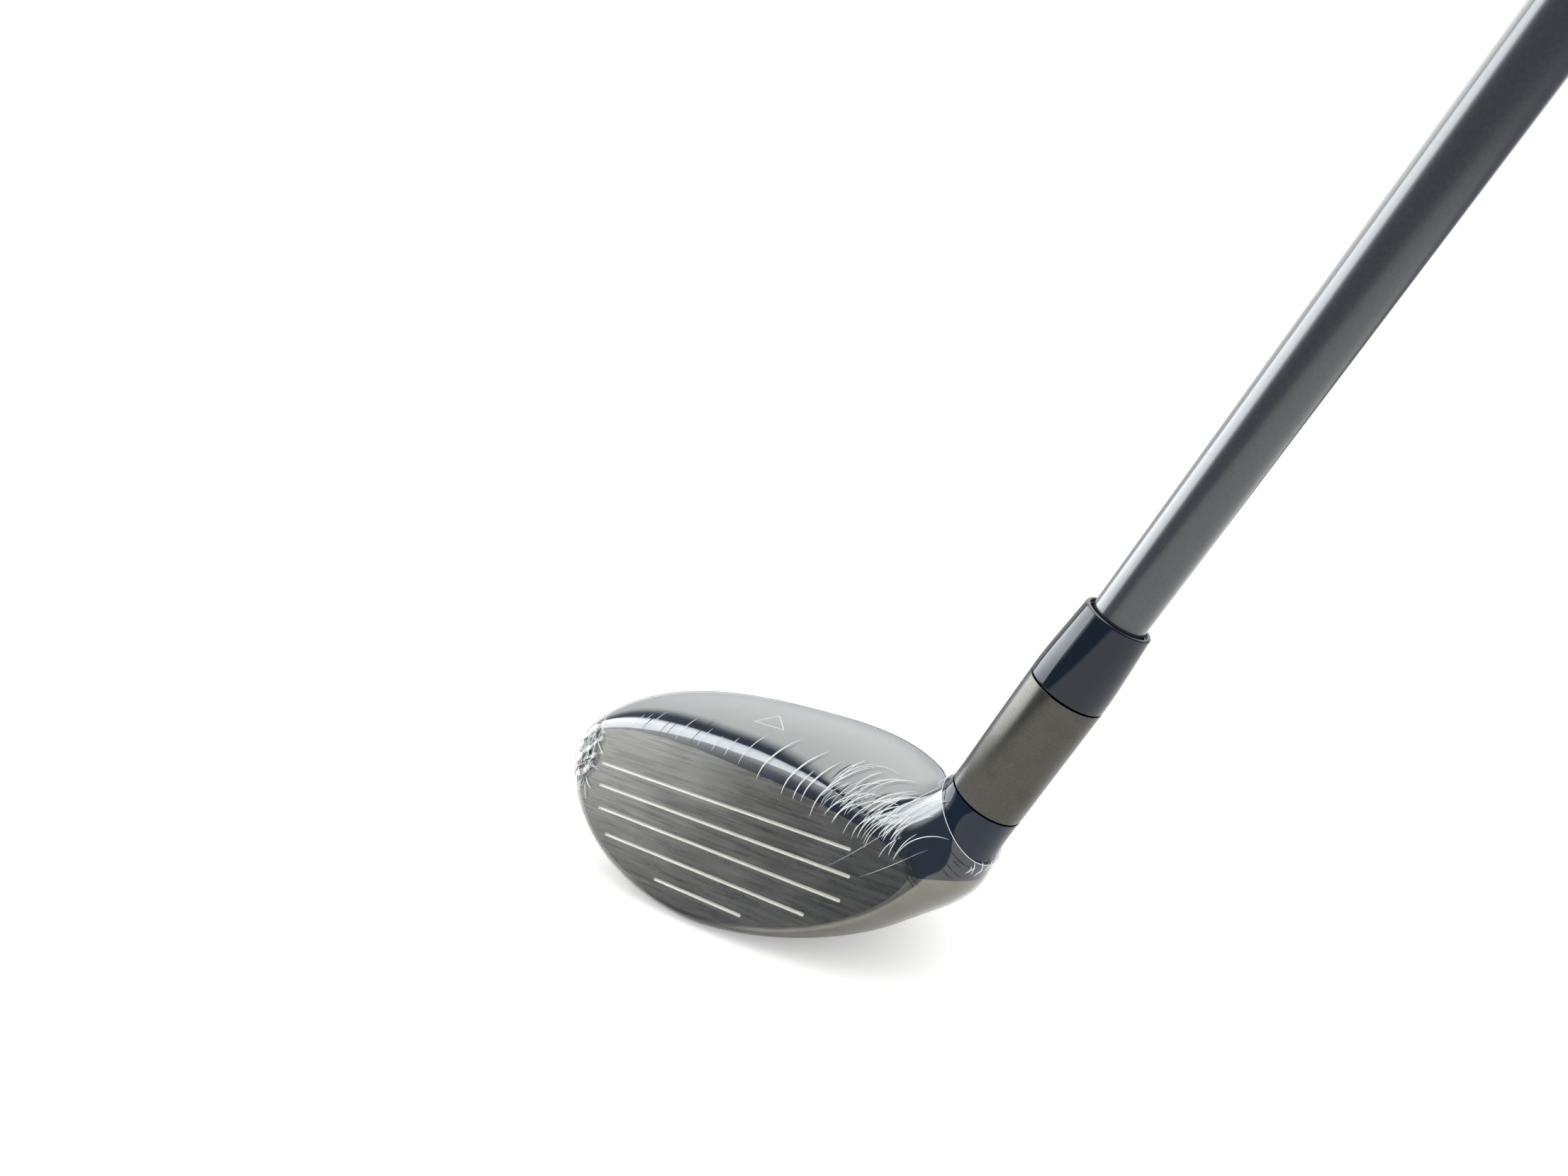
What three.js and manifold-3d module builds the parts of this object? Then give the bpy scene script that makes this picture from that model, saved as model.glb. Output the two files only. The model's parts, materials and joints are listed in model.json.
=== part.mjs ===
// A right-handed hybrid golf club, standing at address with its sole on the ground.
// +Z is up, the face looks along -Y, the toe points along -X, and the shaft leans towards +X
// in the plane y = 0. The origin is the point of the sole that rests on the ground.
// All sizes are in millimetres.

import * as THREE from 'three';
import { ParametricGeometry } from 'three/addons/geometries/ParametricGeometry.js';
import { mergeVertices } from 'three/addons/utils/BufferGeometryUtils.js';
import Module from 'manifold-3d';

const wasm = await Module();
wasm.setup();

// ---- driving dimensions ------------------------------------------------------------------

const LIE = THREE.MathUtils.degToRad( 60 );
const LOFT = THREE.MathUtils.degToRad( 20 );
const CLUB_LENGTH = 1016;
const GAP = 0.3;

// Head
const HEAD_DEPTH = 66.7;
const HEAD_HALF_LENGTH = 47;
const LEADING_EDGE_Y = -19.7;
const TAIL = { x: -3, z: 19.5 };
const FACE_THICKNESS = 2.4;
const FACE_RIM = 1.0;
const FACE_LEDGE = 4;
const FACE_CENTRE_Z = 16.5;
const BODY_WALL = 2.0;
const CROWN_WALL = 1.2;
const CAVITY_FRONT = 4.6;
const CROWN_LINE = { z: 25.3, y: -10, fall: 0.08 };
const CROWN_HEEL_X = 34;

// Score lines: height above the ground, toe end and heel end
const SCORE_LINES = [
	{ z: 22.5, toe: -37, heel: 30.5 },
	{ z: 18.3, toe: -35.5, heel: 32 },
	{ z: 14.1, toe: -33.5, heel: 31.5 },
	{ z: 9.8, toe: -29, heel: 25 },
	{ z: 5.6, toe: -12, heel: 11.5 },
];
const SCORE_WIDTH = 0.9;
const SCORE_DEPTH = 0.4;

// Weight and badge on the sole
const SOLE_WEIGHT = { halfX: 19, fromY: 16, toY: 29, top: 9 };
const BADGE = { halfX: 15, fromY: 15, toY: 27, thickness: 0.8 };

// Hosel axis: HOSEL_POINT is where the painted neck ends; distances along it count from there
const HOSEL_POINT = new THREE.Vector3( 50, 0, 35.2 );
const HOSEL_DIR = new THREE.Vector3( Math.cos( LIE ), 0, Math.sin( LIE ) );
const HOSEL_RADIUS = 6.8;
const HOSEL_TOP = 24.7;
const BORE_RADIUS = 5.0;
const SPIGOT_RADIUS = 5.8;
const SPIGOT_END = -14;
const NECK_ROOT = { radius: 7, centre: -11.5, blend: -6 };
const FILM_EDGE = { centre: -7.5, tilt: THREE.MathUtils.degToRad( 33 ), cutter: 30 };
const FILM = { inside: 0.35, outside: 0.75, clearOfGround: 0.1 };

// Ferrule
const FERRULE_STRAIGHT = 3;
const FERRULE_TOP = 39.6;
const FERRULE_TOP_RADIUS = 5.85;
const FERRULE_EDGE = 0.5;
const FERRULE_STEP = { radius: 5.3, depth: 0.6 };

// Shaft
const SHAFT_TIP = -9.2;
const SHAFT_TIP_RADIUS = 4.7;
const SHAFT_PARALLEL_END = 75;
const SHAFT_TAPER = 0.0033;
const SHAFT_TIP_BORE = 2.5;
const SHAFT_BUTT_BORE = 6.7;
const TIP_WEIGHT = { head: 2.5, pin: 20, clearance: 0.1 };
const PLUG_THICKNESS = 1.7;

// Grip
const GRIP_LENGTH = 267;
const CAP_THICKNESS = 5.7;
const CAP_FLAT_RADIUS = 11;
const CAP_BULGE = 0.2;
const CAP_EDGE = { radius: 12.6, depth: 1, below: 3 };
const TAPE = { thickness: 0.35, fromMouth: 7, fromCap: 1 };
const GRIP_MOUTH = { radius: 8.7, edgeRadius: 8.3, edge: 1.5 };
const GRIP_BUTT_RADIUS = 13.2;
const VENT_RADIUS = 1.25;

// ---- derived places ----------------------------------------------------------------------

const AXIS_ON_GROUND = -HOSEL_POINT.z / Math.sin( LIE );
const BUTT_END = CLUB_LENGTH + AXIS_ON_GROUND;
const CAP_START = BUTT_END - CAP_THICKNESS;
const SHAFT_END = CAP_START - GAP;
const GRIP_START = BUTT_END - GRIP_LENGTH;
const shaftRadius = ( s ) => SHAFT_TIP_RADIUS + Math.max( 0, s - SHAFT_PARALLEL_END ) * SHAFT_TAPER;

// ---- solids ------------------------------------------------------------------------------

// Six times the signed volume: negative where the faces point inwards.
function signedVolume( position, triangles ) {

	const corner = ( i ) => new THREE.Vector3().fromBufferAttribute( position, triangles[ i ] );
	let sum = 0;
	for ( let i = 0; i < triangles.length; i += 3 ) {

		sum += corner( i ).dot( corner( i + 1 ).cross( corner( i + 2 ) ) );

	}

	return sum;

}

// A closed geometry as a solid: shared corners merged, the flat triangles at poles dropped,
// and the faces turned outwards.
function solid( geometry ) {

	const source = geometry.clone();
	source.deleteAttribute( 'normal' );
	source.deleteAttribute( 'uv' );
	const merged = mergeVertices( source, 1e-4 );
	const index = merged.index.array;
	const kept = [];
	for ( let i = 0; i < index.length; i += 3 ) {

		const [ a, b, c ] = [ index[ i ], index[ i + 1 ], index[ i + 2 ] ];
		if ( a !== b && b !== c && c !== a ) kept.push( a, b, c );

	}

	if ( signedVolume( merged.attributes.position, kept ) < 0 ) kept.reverse();
	const mesh = new wasm.Mesh( {
		numProp: 3,
		vertProperties: new Float32Array( merged.attributes.position.array ),
		triVerts: new Uint32Array( kept ),
	} );
	return new wasm.Manifold( mesh );

}

function geometryOf( manifold ) {

	const { vertProperties, triVerts } = manifold.getMesh();
	const geometry = new THREE.BufferGeometry();
	geometry.setAttribute( 'position', new THREE.BufferAttribute( vertProperties, 3 ) );
	geometry.setIndex( new THREE.BufferAttribute( triVerts, 1 ) );
	return geometry;

}

function box( min, max ) {

	const geometry = new THREE.BoxGeometry( max[ 0 ] - min[ 0 ], max[ 1 ] - min[ 1 ], max[ 2 ] - min[ 2 ] );
	geometry.translate( ( min[ 0 ] + max[ 0 ] ) / 2, ( min[ 1 ] + max[ 1 ] ) / 2, ( min[ 2 ] + max[ 2 ] ) / 2 );
	return solid( geometry );

}

// ---- head skin ---------------------------------------------------------------------------

// The head's outer skin is a loft of closed sections from the face (u = 0) back to the tail
// (u = 1). Each section is four superellipse quarters that meet at its toe, crown, heel and
// sole points; these guides say where those four points are and how full each quarter is.
function headGuides( u ) {

	const closing = ( power, root ) => Math.pow( Math.max( 0, 1 - Math.pow( u, power ) ), root );
	const fromFace = ( reach ) => Math.exp( -u / reach );
	return {
		toeX: TAIL.x - 47.5 * closing( 2.2, 0.556 ) + 5.8 * fromFace( 0.08 ),
		toeZ: TAIL.z + 5.3 * fromFace( 0.2 ),
		heelX: TAIL.x + 51 * closing( 1.8, 0.6 ) - 3.5 * fromFace( 0.06 ),
		heelZ: TAIL.z + 3 * fromFace( 0.2 ),
		crownX: TAIL.x + 10 * ( 1 - u ) - 21 * fromFace( 0.12 ),
		crownZ: TAIL.z + 21.6 * closing( 2.6, 0.625 ) - 9.5 * fromFace( 0.1 ),
		soleX: TAIL.x + 1.4 * fromFace( 0.2 ),
		soleZ: TAIL.z - 19.75 * closing( 4, 0.556 ) + 1.95 * fromFace( 0.06 ),
		fullness: {
			crownHeel: 2.75 - 1.2 * fromFace( 0.1 ),
			crownToe: 2.6,
			soleToe: 1.95,
			soleHeel: 1.8 - 0.15 * fromFace( 0.1 ),
		},
	};

}

// A point of the section at u: around = 0 at the heel, 0.25 crown, 0.5 toe, 0.75 sole.
// scaleX and scaleZ shrink or grow the section, and front and back move its two ends.
function headPoint( around, u, { scaleX = 1, scaleZ = 1, front = 0, back = 0 } ) {

	const guide = headGuides( u );
	const angle = around * 2 * Math.PI;
	const cos = Math.cos( angle );
	const sin = Math.sin( angle );
	const sideX = cos >= 0 ? guide.heelX : guide.toeX;
	const sideZ = cos >= 0 ? guide.heelZ : guide.toeZ;
	const endX = sin >= 0 ? guide.crownX : guide.soleX;
	const endZ = sin >= 0 ? guide.crownZ : guide.soleZ;
	const name = ( sin >= 0 ? 'crown' : 'sole' ) + ( cos >= 0 ? 'Heel' : 'Toe' );
	const power = 2 / guide.fullness[ name ];
	const x = endX + ( sideX - endX ) * Math.pow( Math.abs( cos ), power ) * scaleX;
	const z = sideZ + ( endZ - sideZ ) * Math.pow( Math.abs( sin ), power ) * scaleZ;
	const upright = THREE.MathUtils.smoothstep( u, 0, 0.6 );
	const depth = front + u * ( HEAD_DEPTH - front - back );
	const y = LEADING_EDGE_Y + depth + Math.tan( LOFT ) * ( 1 - upright ) * z;
	return new THREE.Vector3( x, y, z );

}

// The whole skin as a solid, moved inwards by inset (outwards if negative). front says how far
// behind the face plane it starts.
function headSolid( inset, front, sides = 44, rings = 18 ) {

	const shape = {
		scaleX: 1 - inset / HEAD_HALF_LENGTH,
		scaleZ: 1 - inset / TAIL.z,
		front: front,
		back: inset,
	};
	const faceCentre = headPoint( 0.5, 0, shape ).lerp( headPoint( 0, 0, shape ), 0.5 );
	const tail = new THREE.Vector3( TAIL.x, LEADING_EDGE_Y + HEAD_DEPTH - inset, TAIL.z );
	const surface = ( around, along, target ) => {

		const row = Math.round( along * rings );
		const u = ( 1 - Math.cos( Math.PI * ( row - 1 ) / ( rings - 1 ) ) ) / 2;
		if ( row === 0 ) target.copy( faceCentre );
		else if ( row === rings ) target.copy( tail );
		else target.copy( headPoint( around % 1, u, shape ) );

	};

	return solid( new ParametricGeometry( surface, sides, rings ) );

}

// The face outline, moved inwards by rim, as a plate from the face plane to depth behind it.
function facePrism( rim, proud, depth ) {

	const sides = 44;
	const centre = new THREE.Vector2( TAIL.x, FACE_CENTRE_Z );
	const outline = [];
	for ( let i = 0; i < sides; i ++ ) {

		const point = headPoint( i / sides, 0, {} );
		const flat = new THREE.Vector2( point.x, point.z / Math.cos( LOFT ) );
		const inward = flat.clone().sub( centre ).normalize().multiplyScalar( rim );
		outline.push( flat.sub( inward ) );

	}

	const geometry = new THREE.ExtrudeGeometry( new THREE.Shape( outline ), {
		depth: depth + proud,
		bevelEnabled: false,
	} );
	geometry.translate( 0, 0, -depth );
	geometry.rotateX( Math.PI / 2 - LOFT );
	geometry.translate( 0, LEADING_EDGE_Y, 0 );
	return solid( geometry );

}

// ---- shapes about the hosel axis ---------------------------------------------------------

// A turned solid about the hosel axis from a profile of [ radius, distance along the axis ].
function turned( profile, segments = 24 ) {

	const points = profile.map( ( [ r, s ] ) => new THREE.Vector2( r, s ) );
	const geometry = new THREE.LatheGeometry( points, segments );
	geometry.rotateX( Math.PI / 2 );
	geometry.rotateY( Math.PI / 2 - LIE );
	geometry.translate( HOSEL_POINT.x, HOSEL_POINT.y, HOSEL_POINT.z );
	return solid( geometry );

}

// The neck outside: straight to the root, closed by a round end inside the heel.
function neckSolid( growth, top ) {

	const profile = [];
	const radius = NECK_ROOT.radius + growth;
	const steps = 6;
	for ( let i = 0; i <= steps; i ++ ) {

		const angle = ( -Math.PI / 2 ) * ( 1 - i / steps );
		profile.push( [ radius * Math.cos( angle ), NECK_ROOT.centre + radius * Math.sin( angle ) ] );

	}

	profile[ 0 ][ 0 ] = 0;
	profile.push( [ HOSEL_RADIUS + growth, NECK_ROOT.blend ], [ HOSEL_RADIUS + growth, top ], [ 0, top ] );
	return turned( profile );

}

const outer = headSolid( 0, 0 );

// The half-space above the line where the crown shell meets the body, as a large sloping block.
function aboveCrownLine( lift ) {

	const size = 200;
	const geometry = new THREE.BoxGeometry( size, size, size );
	geometry.translate( 0, 0, size / 2 );
	geometry.rotateX( -Math.atan( CROWN_LINE.fall ) );
	geometry.translate( 0, CROWN_LINE.y, CROWN_LINE.z + lift );
	return solid( geometry );

}

const FAR = 150;
const heelSide = ( x ) => box( [ x, -FAR, -FAR ], [ FAR, FAR, FAR ] );
const underGround = ( z ) => box( [ -FAR, -FAR, -FAR ], [ FAR, FAR, z ] );

// The face plate sits in a pocket whose floor is a ledge round the opening into the head.
const PROUD = 5;
const facePocket = facePrism( FACE_RIM - GAP, PROUD, FACE_THICKNESS + GAP );
const faceOpening = facePrism( FACE_LEDGE, PROUD, CAVITY_FRONT + 1 );

function crownShell() {

	return outer
		.subtract( headSolid( CROWN_WALL, CAVITY_FRONT ) )
		.intersect( aboveCrownLine( GAP ) )
		.subtract( heelSide( CROWN_HEEL_X - GAP ) )
		.subtract( facePocket )
		.subtract( faceOpening );

}

function badgePrism( grow ) {

	return box(
		[ TAIL.x - BADGE.halfX - grow, BADGE.fromY - grow, -FAR ],
		[ TAIL.x + BADGE.halfX + grow, BADGE.toY + grow, TAIL.z / 2 ],
	);

}

function headBody() {

	const cavity = headSolid( BODY_WALL, CAVITY_FRONT );
	const crownOpening = aboveCrownLine( 0 ).subtract( heelSide( CROWN_HEEL_X ) );
	const badgeRecess = badgePrism( GAP ).subtract( headSolid( BADGE.thickness + GAP, 0 ) );
	const spigotBore = turned( [
		[ 0, SPIGOT_END - GAP ], [ SPIGOT_RADIUS + GAP, SPIGOT_END - GAP ],
		[ SPIGOT_RADIUS + GAP, GAP ], [ 0, GAP ],
	] );
	return outer
		.subtract( cavity )
		.subtract( crownOpening )
		.add( neckSolid( 0, -GAP / 2 ) )
		.subtract( facePocket )
		.subtract( faceOpening )
		.subtract( spigotBore )
		.subtract( badgeRecess )
		.subtract( underGround( 0 ) );

}

function facePlate() {

	let plate = facePrism( FACE_RIM, 0, FACE_THICKNESS );
	for ( const line of SCORE_LINES ) {

		const half = ( line.heel - line.toe - SCORE_WIDTH ) / 2;
		const groove = new THREE.CapsuleGeometry( SCORE_WIDTH / 2, 2 * half, 3, 8 );
		groove.rotateZ( Math.PI / 2 );
		groove.scale( 1, SCORE_DEPTH / ( SCORE_WIDTH / 2 ), 1 );
		groove.rotateX( LOFT );
		const y = LEADING_EDGE_Y + Math.tan( LOFT ) * line.z;
		groove.translate( ( line.toe + line.heel ) / 2, y, line.z );
		plate = plate.subtract( solid( groove ) );

	}

	return plate;

}

function soleBadge() {

	return outer
		.subtract( headSolid( BADGE.thickness, 0 ) )
		.intersect( badgePrism( 0 ) )
		.subtract( underGround( 0 ) );

}

// The tungsten slug follows the inside of the sole that it is bonded to.
function tungstenWeight() {

	const block = box(
		[ TAIL.x - SOLE_WEIGHT.halfX, SOLE_WEIGHT.fromY, -FAR ],
		[ TAIL.x + SOLE_WEIGHT.halfX, SOLE_WEIGHT.toY, SOLE_WEIGHT.top ],
	);
	return block.intersect( headSolid( BODY_WALL + GAP, CAVITY_FRONT + GAP ) );

}

// Clear shrink film over the head and the lower neck. It is open round the neck, and open at
// the small flat of the sole, where the head stands on the ground.
function headFilm() {

	const skin = ( distance, top ) => headSolid( -distance, -distance ).add( neckSolid( distance, top ) );
	const above = new THREE.BoxGeometry( FILM_EDGE.cutter, FILM_EDGE.cutter, FILM_EDGE.cutter );
	above.translate( 0, 0, FILM_EDGE.cutter / 2 );
	above.rotateY( Math.PI / 2 - LIE + FILM_EDGE.tilt );
	const middle = HOSEL_DIR.clone().multiplyScalar( FILM_EDGE.centre ).add( HOSEL_POINT );
	above.translate( middle.x, middle.y, middle.z );
	return skin( FILM.outside, GAP )
		.subtract( skin( FILM.inside, 1 ) )
		.subtract( solid( above ) )
		.subtract( underGround( FILM.clearOfGround ) );

}

// ---- the assembly ------------------------------------------------------------------------

const club = new THREE.Group();

function addPart( name, manifold, color, roughness, metalness ) {

	const material = new THREE.MeshStandardMaterial( { color, roughness, metalness } );
	const mesh = new THREE.Mesh( geometryOf( manifold ), material );
	mesh.name = name;
	club.add( mesh );

}

const ring = ( inner, outerProfile ) => [
	[ inner[ 0 ][ 0 ], inner[ 0 ][ 1 ] ],
	...outerProfile,
	[ inner[ 1 ][ 0 ], inner[ 1 ][ 1 ] ],
	[ inner[ 0 ][ 0 ], inner[ 0 ][ 1 ] ],
];

addPart( 'head_body', headBody(), 0x6f6c66, 0.35, 1 );
addPart( 'crown_shell', crownShell(), 0x101828, 0.12, 0.2 );
addPart( 'face_plate', facePlate(), 0x5c5a55, 0.4, 1 );
addPart( 'sole_badge', soleBadge(), 0x1c1e22, 0.3, 0.6 );
addPart( 'tungsten_weight', tungstenWeight(), 0x55585c, 0.6, 1 );
addPart( 'head_film', headFilm(), 0xdfe6ea, 0.1, 0 );

// Hosel sleeve: the bare turned section, with a spigot that is bonded into the neck.
addPart( 'hosel_sleeve', turned( ring(
	[ [ BORE_RADIUS, SPIGOT_END ], [ BORE_RADIUS, HOSEL_TOP - GAP / 2 ] ],
	[
		[ SPIGOT_RADIUS, SPIGOT_END ], [ SPIGOT_RADIUS, GAP / 2 ],
		[ HOSEL_RADIUS, GAP / 2 ], [ HOSEL_RADIUS, HOSEL_TOP - GAP / 2 ],
	],
), 32 ), 0x8a8578, 0.35, 1 );

addPart( 'hosel_plug', turned( [
	[ 0, SPIGOT_END ], [ BORE_RADIUS - GAP, SPIGOT_END ],
	[ BORE_RADIUS - GAP, SPIGOT_END + PLUG_THICKNESS ], [ 0, SPIGOT_END + PLUG_THICKNESS ],
] ), 0xb98a5a, 0.8, 0 );

addPart( 'ferrule', turned( ring(
	[ [ BORE_RADIUS, HOSEL_TOP + GAP / 2 ], [ BORE_RADIUS, FERRULE_TOP - FERRULE_STEP.depth ] ],
	[
		[ HOSEL_RADIUS, HOSEL_TOP + GAP / 2 ],
		[ HOSEL_RADIUS, HOSEL_TOP + FERRULE_STRAIGHT ],
		[ FERRULE_TOP_RADIUS, FERRULE_TOP - FERRULE_EDGE ],
		[ FERRULE_TOP_RADIUS - FERRULE_EDGE / 2, FERRULE_TOP ],
		[ FERRULE_STEP.radius, FERRULE_TOP ],
		[ FERRULE_STEP.radius, FERRULE_TOP - FERRULE_STEP.depth ],
	],
), 32 ), 0x141c2a, 0.15, 0 );

addPart( 'tip_weight', turned( [
	[ 0, SHAFT_TIP - GAP - TIP_WEIGHT.head ],
	[ SHAFT_TIP_RADIUS - TIP_WEIGHT.clearance, SHAFT_TIP - GAP - TIP_WEIGHT.head ],
	[ SHAFT_TIP_RADIUS - TIP_WEIGHT.clearance, SHAFT_TIP - GAP ],
	[ SHAFT_TIP_BORE - GAP, SHAFT_TIP - GAP ],
	[ SHAFT_TIP_BORE - GAP, SHAFT_TIP + TIP_WEIGHT.pin ],
	[ 0, SHAFT_TIP + TIP_WEIGHT.pin ],
] ), 0xb08d45, 0.35, 1 );

addPart( 'shaft', turned( ring(
	[ [ SHAFT_TIP_BORE, SHAFT_TIP ], [ SHAFT_BUTT_BORE, SHAFT_END ] ],
	[
		[ SHAFT_TIP_RADIUS, SHAFT_TIP ],
		[ SHAFT_TIP_RADIUS, SHAFT_PARALLEL_END ],
		[ shaftRadius( SHAFT_END ), SHAFT_END ],
	],
), 32 ), 0x4a4e55, 0.25, 0.3 );

// The tape is a thin sleeve of double-sided tape between the shaft and the grip.
const tapeStart = GRIP_START + TAPE.fromMouth;
const tapeEnd = CAP_START - TAPE.fromCap;
const TAPE_INNER = GAP;
const TAPE_OUTER = GAP + TAPE.thickness;
const GRIP_INNER = TAPE_OUTER + GAP;
addPart( 'grip_tape', turned( ring(
	[
		[ shaftRadius( tapeStart ) + TAPE_INNER, tapeStart ],
		[ shaftRadius( tapeEnd ) + TAPE_INNER, tapeEnd ],
	],
	[
		[ shaftRadius( tapeStart ) + TAPE_OUTER, tapeStart ],
		[ shaftRadius( tapeEnd ) + TAPE_OUTER, tapeEnd ],
	],
) ), 0xd8c79a, 0.9, 0 );

const gripEnd = CAP_START - GAP / 2;
addPart( 'grip_sleeve', turned( ring(
	[
		[ shaftRadius( GRIP_START ) + GRIP_INNER, GRIP_START ],
		[ shaftRadius( gripEnd ) + GRIP_INNER, gripEnd ],
	],
	[
		[ GRIP_MOUTH.edgeRadius, GRIP_START ],
		[ GRIP_MOUTH.radius, GRIP_START + GRIP_MOUTH.edge ],
		[ GRIP_BUTT_RADIUS, gripEnd ],
	],
), 32 ), 0x1b1c1e, 0.85, 0 );

addPart( 'grip_cap', turned( ring(
	[ [ VENT_RADIUS, CAP_START + GAP / 2 ], [ VENT_RADIUS, BUTT_END ] ],
	[
		[ GRIP_BUTT_RADIUS, CAP_START + GAP / 2 ],
		[ GRIP_BUTT_RADIUS + CAP_BULGE, BUTT_END - CAP_EDGE.below ],
		[ CAP_EDGE.radius, BUTT_END - CAP_EDGE.depth ],
		[ CAP_FLAT_RADIUS, BUTT_END ],
	],
), 32 ), 0x1b1c1e, 0.8, 0 );

export default club;
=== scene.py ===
import json
import math
import random

import bmesh
import bpy
from mathutils import Matrix, Quaternion, Vector, noise
from mathutils.bvhtree import BVHTree
from mathutils.interpolate import poly_3d_calc


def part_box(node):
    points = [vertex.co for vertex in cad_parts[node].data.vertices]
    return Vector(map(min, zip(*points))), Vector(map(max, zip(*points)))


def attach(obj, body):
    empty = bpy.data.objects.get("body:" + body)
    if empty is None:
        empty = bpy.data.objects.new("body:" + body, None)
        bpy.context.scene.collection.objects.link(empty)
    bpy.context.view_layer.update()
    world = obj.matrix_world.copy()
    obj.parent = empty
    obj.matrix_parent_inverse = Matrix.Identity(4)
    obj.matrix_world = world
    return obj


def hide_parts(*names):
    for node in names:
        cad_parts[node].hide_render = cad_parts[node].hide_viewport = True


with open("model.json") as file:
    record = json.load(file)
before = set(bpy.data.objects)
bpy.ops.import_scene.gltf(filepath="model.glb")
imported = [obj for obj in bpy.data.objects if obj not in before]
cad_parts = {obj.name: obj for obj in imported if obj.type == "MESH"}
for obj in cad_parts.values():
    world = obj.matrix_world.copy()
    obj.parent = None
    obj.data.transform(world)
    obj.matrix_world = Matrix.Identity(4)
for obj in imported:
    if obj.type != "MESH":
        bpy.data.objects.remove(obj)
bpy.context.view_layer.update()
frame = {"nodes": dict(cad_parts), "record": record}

# A right-handed hybrid golf club at address: sole on the floor, face towards -Y, toe towards -X,
# shaft leaning to +X in the plane y = 0. Shapes are worked in millimetres, and each finished
# mesh is scaled to metres.

# ---- studio ------------------------------------------------------------------------------
# A pale floor and soft light from all round. What gloss and steel mirror is a dim room with a
# white wall behind the club and one tall window to the front left, so that lacquer reads dark.

scene = bpy.context.scene
scene.view_settings.view_transform = "Standard"


def colour(code):
    """Linear RGBA from an sRGB hex code."""
    channels = [int(code[i:i + 2], 16) / 255 for i in (0, 2, 4)]
    return [c / 12.92 if c <= 0.04045 else ((c + 0.055) / 1.055) ** 2.4 for c in channels] + [1.0]


def add(tree, kind, inputs=None, **settings):
    """One node with its settings. An input is a value, a socket, or a node whose result to link."""
    made = tree.nodes.new(kind)
    for name, value in settings.items():
        setattr(made, name, value)
    for name, value in (inputs or {}).items():
        if isinstance(value, bpy.types.Node):
            value = next(socket for socket in value.outputs if socket.enabled)
        if isinstance(value, bpy.types.NodeSocket):
            tree.links.new(value, made.inputs[name])
        else:
            made.inputs[name].default_value = value
    return made


def material(name):
    """A new material without nodes, and its node tree."""
    made = bpy.data.materials.new(name)
    made.use_nodes = True
    made.node_tree.nodes.clear()
    return made, made.node_tree


def facing(azimuth, elevation):
    """Direction to the sky: azimuth 0 is -Y, 90 is +X."""
    a, e = math.radians(azimuth), math.radians(elevation)
    return Vector((math.sin(a) * math.cos(e), -math.cos(a) * math.cos(e), math.sin(e)))


FLOOR_SIZE = 30.0
floor_form = bmesh.new()
bmesh.ops.create_grid(floor_form, x_segments=8, y_segments=8, size=FLOOR_SIZE / 2)
floor_mesh = bpy.data.meshes.new("floor")
floor_form.to_mesh(floor_mesh)
floor = bpy.data.objects.new("floor", floor_mesh)
scene.collection.objects.link(floor)

# Matt white floor paint: scattered light only. It is lifted a little where it is seen, and a
# mirror sees it fall to the dim grey of the room from FLOOR_DIMS to FLOOR_DIM.
FLOOR_LIFT = 0.35
FLOOR_DIMS, FLOOR_DIM = 0.3, 0.6
ROOM_GREY = colour("858b94")
floor_paint, floor_tree = material("matt white floor paint")
rays = add(floor_tree, "ShaderNodeLightPath").outputs
floor_matt = add(floor_tree, "ShaderNodeBsdfDiffuse", {"Color": colour("f4f4f3")})
lift = add(floor_tree, "ShaderNodeMath", {0: rays["Is Camera Ray"], 1: FLOOR_LIFT}, operation="MULTIPLY")
floor_lift = add(floor_tree, "ShaderNodeEmission", {"Color": (1, 1, 1, 1), "Strength": lift})
floor_near = add(floor_tree, "ShaderNodeAddShader", {0: floor_matt, 1: floor_lift})
floor_far = add(floor_tree, "ShaderNodeEmission", {"Color": ROOM_GREY})
floor_place = add(floor_tree, "ShaderNodeTexCoord").outputs["Object"]
reach = add(floor_tree, "ShaderNodeVectorMath", {0: floor_place}, operation="LENGTH")
far = add(floor_tree, "ShaderNodeMapRange", {
    "Value": reach, "From Min": FLOOR_DIMS, "From Max": FLOOR_DIM}, interpolation_type="SMOOTHSTEP")
mirrored_far = add(floor_tree, "ShaderNodeMath", {0: far, 1: rays["Is Glossy Ray"]}, operation="MULTIPLY")
floor_shader = add(floor_tree, "ShaderNodeMixShader", {0: mirrored_far, 1: floor_near, 2: floor_far})
add(floor_tree, "ShaderNodeOutputMaterial", {"Surface": floor_shader})
floor_mesh.materials.append(floor_paint)

world = bpy.data.worlds.new("studio")
scene.world = world
world.use_nodes = True
sky = world.node_tree
sky.nodes.clear()
ray = add(sky, "ShaderNodeTexCoord").outputs["Generated"]


def region(*limits):
    """1 inside a part of the sky. Each limit is a direction, and the cosine of the angle to it
    at which the region is still dark and at which it is fully lit."""
    inside = 1.0
    for direction, dark, full in limits:
        along = add(sky, "ShaderNodeVectorMath", {0: ray, 1: direction}, operation="DOT_PRODUCT")
        share = add(sky, "ShaderNodeMapRange", {"Value": along, "From Min": dark, "From Max": full},
                    interpolation_type="SMOOTHSTEP")
        inside = add(sky, "ShaderNodeMath", {0: share, 1: inside}, operation="MULTIPLY")
    return inside


def lit(base, code, share):
    """base with light of one colour added, share times."""
    glow = add(sky, "ShaderNodeVectorMath", {0: colour(code)[:3], "Scale": share}, operation="SCALE")
    return add(sky, "ShaderNodeVectorMath", {0: base, 1: glow}, operation="ADD")


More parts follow.
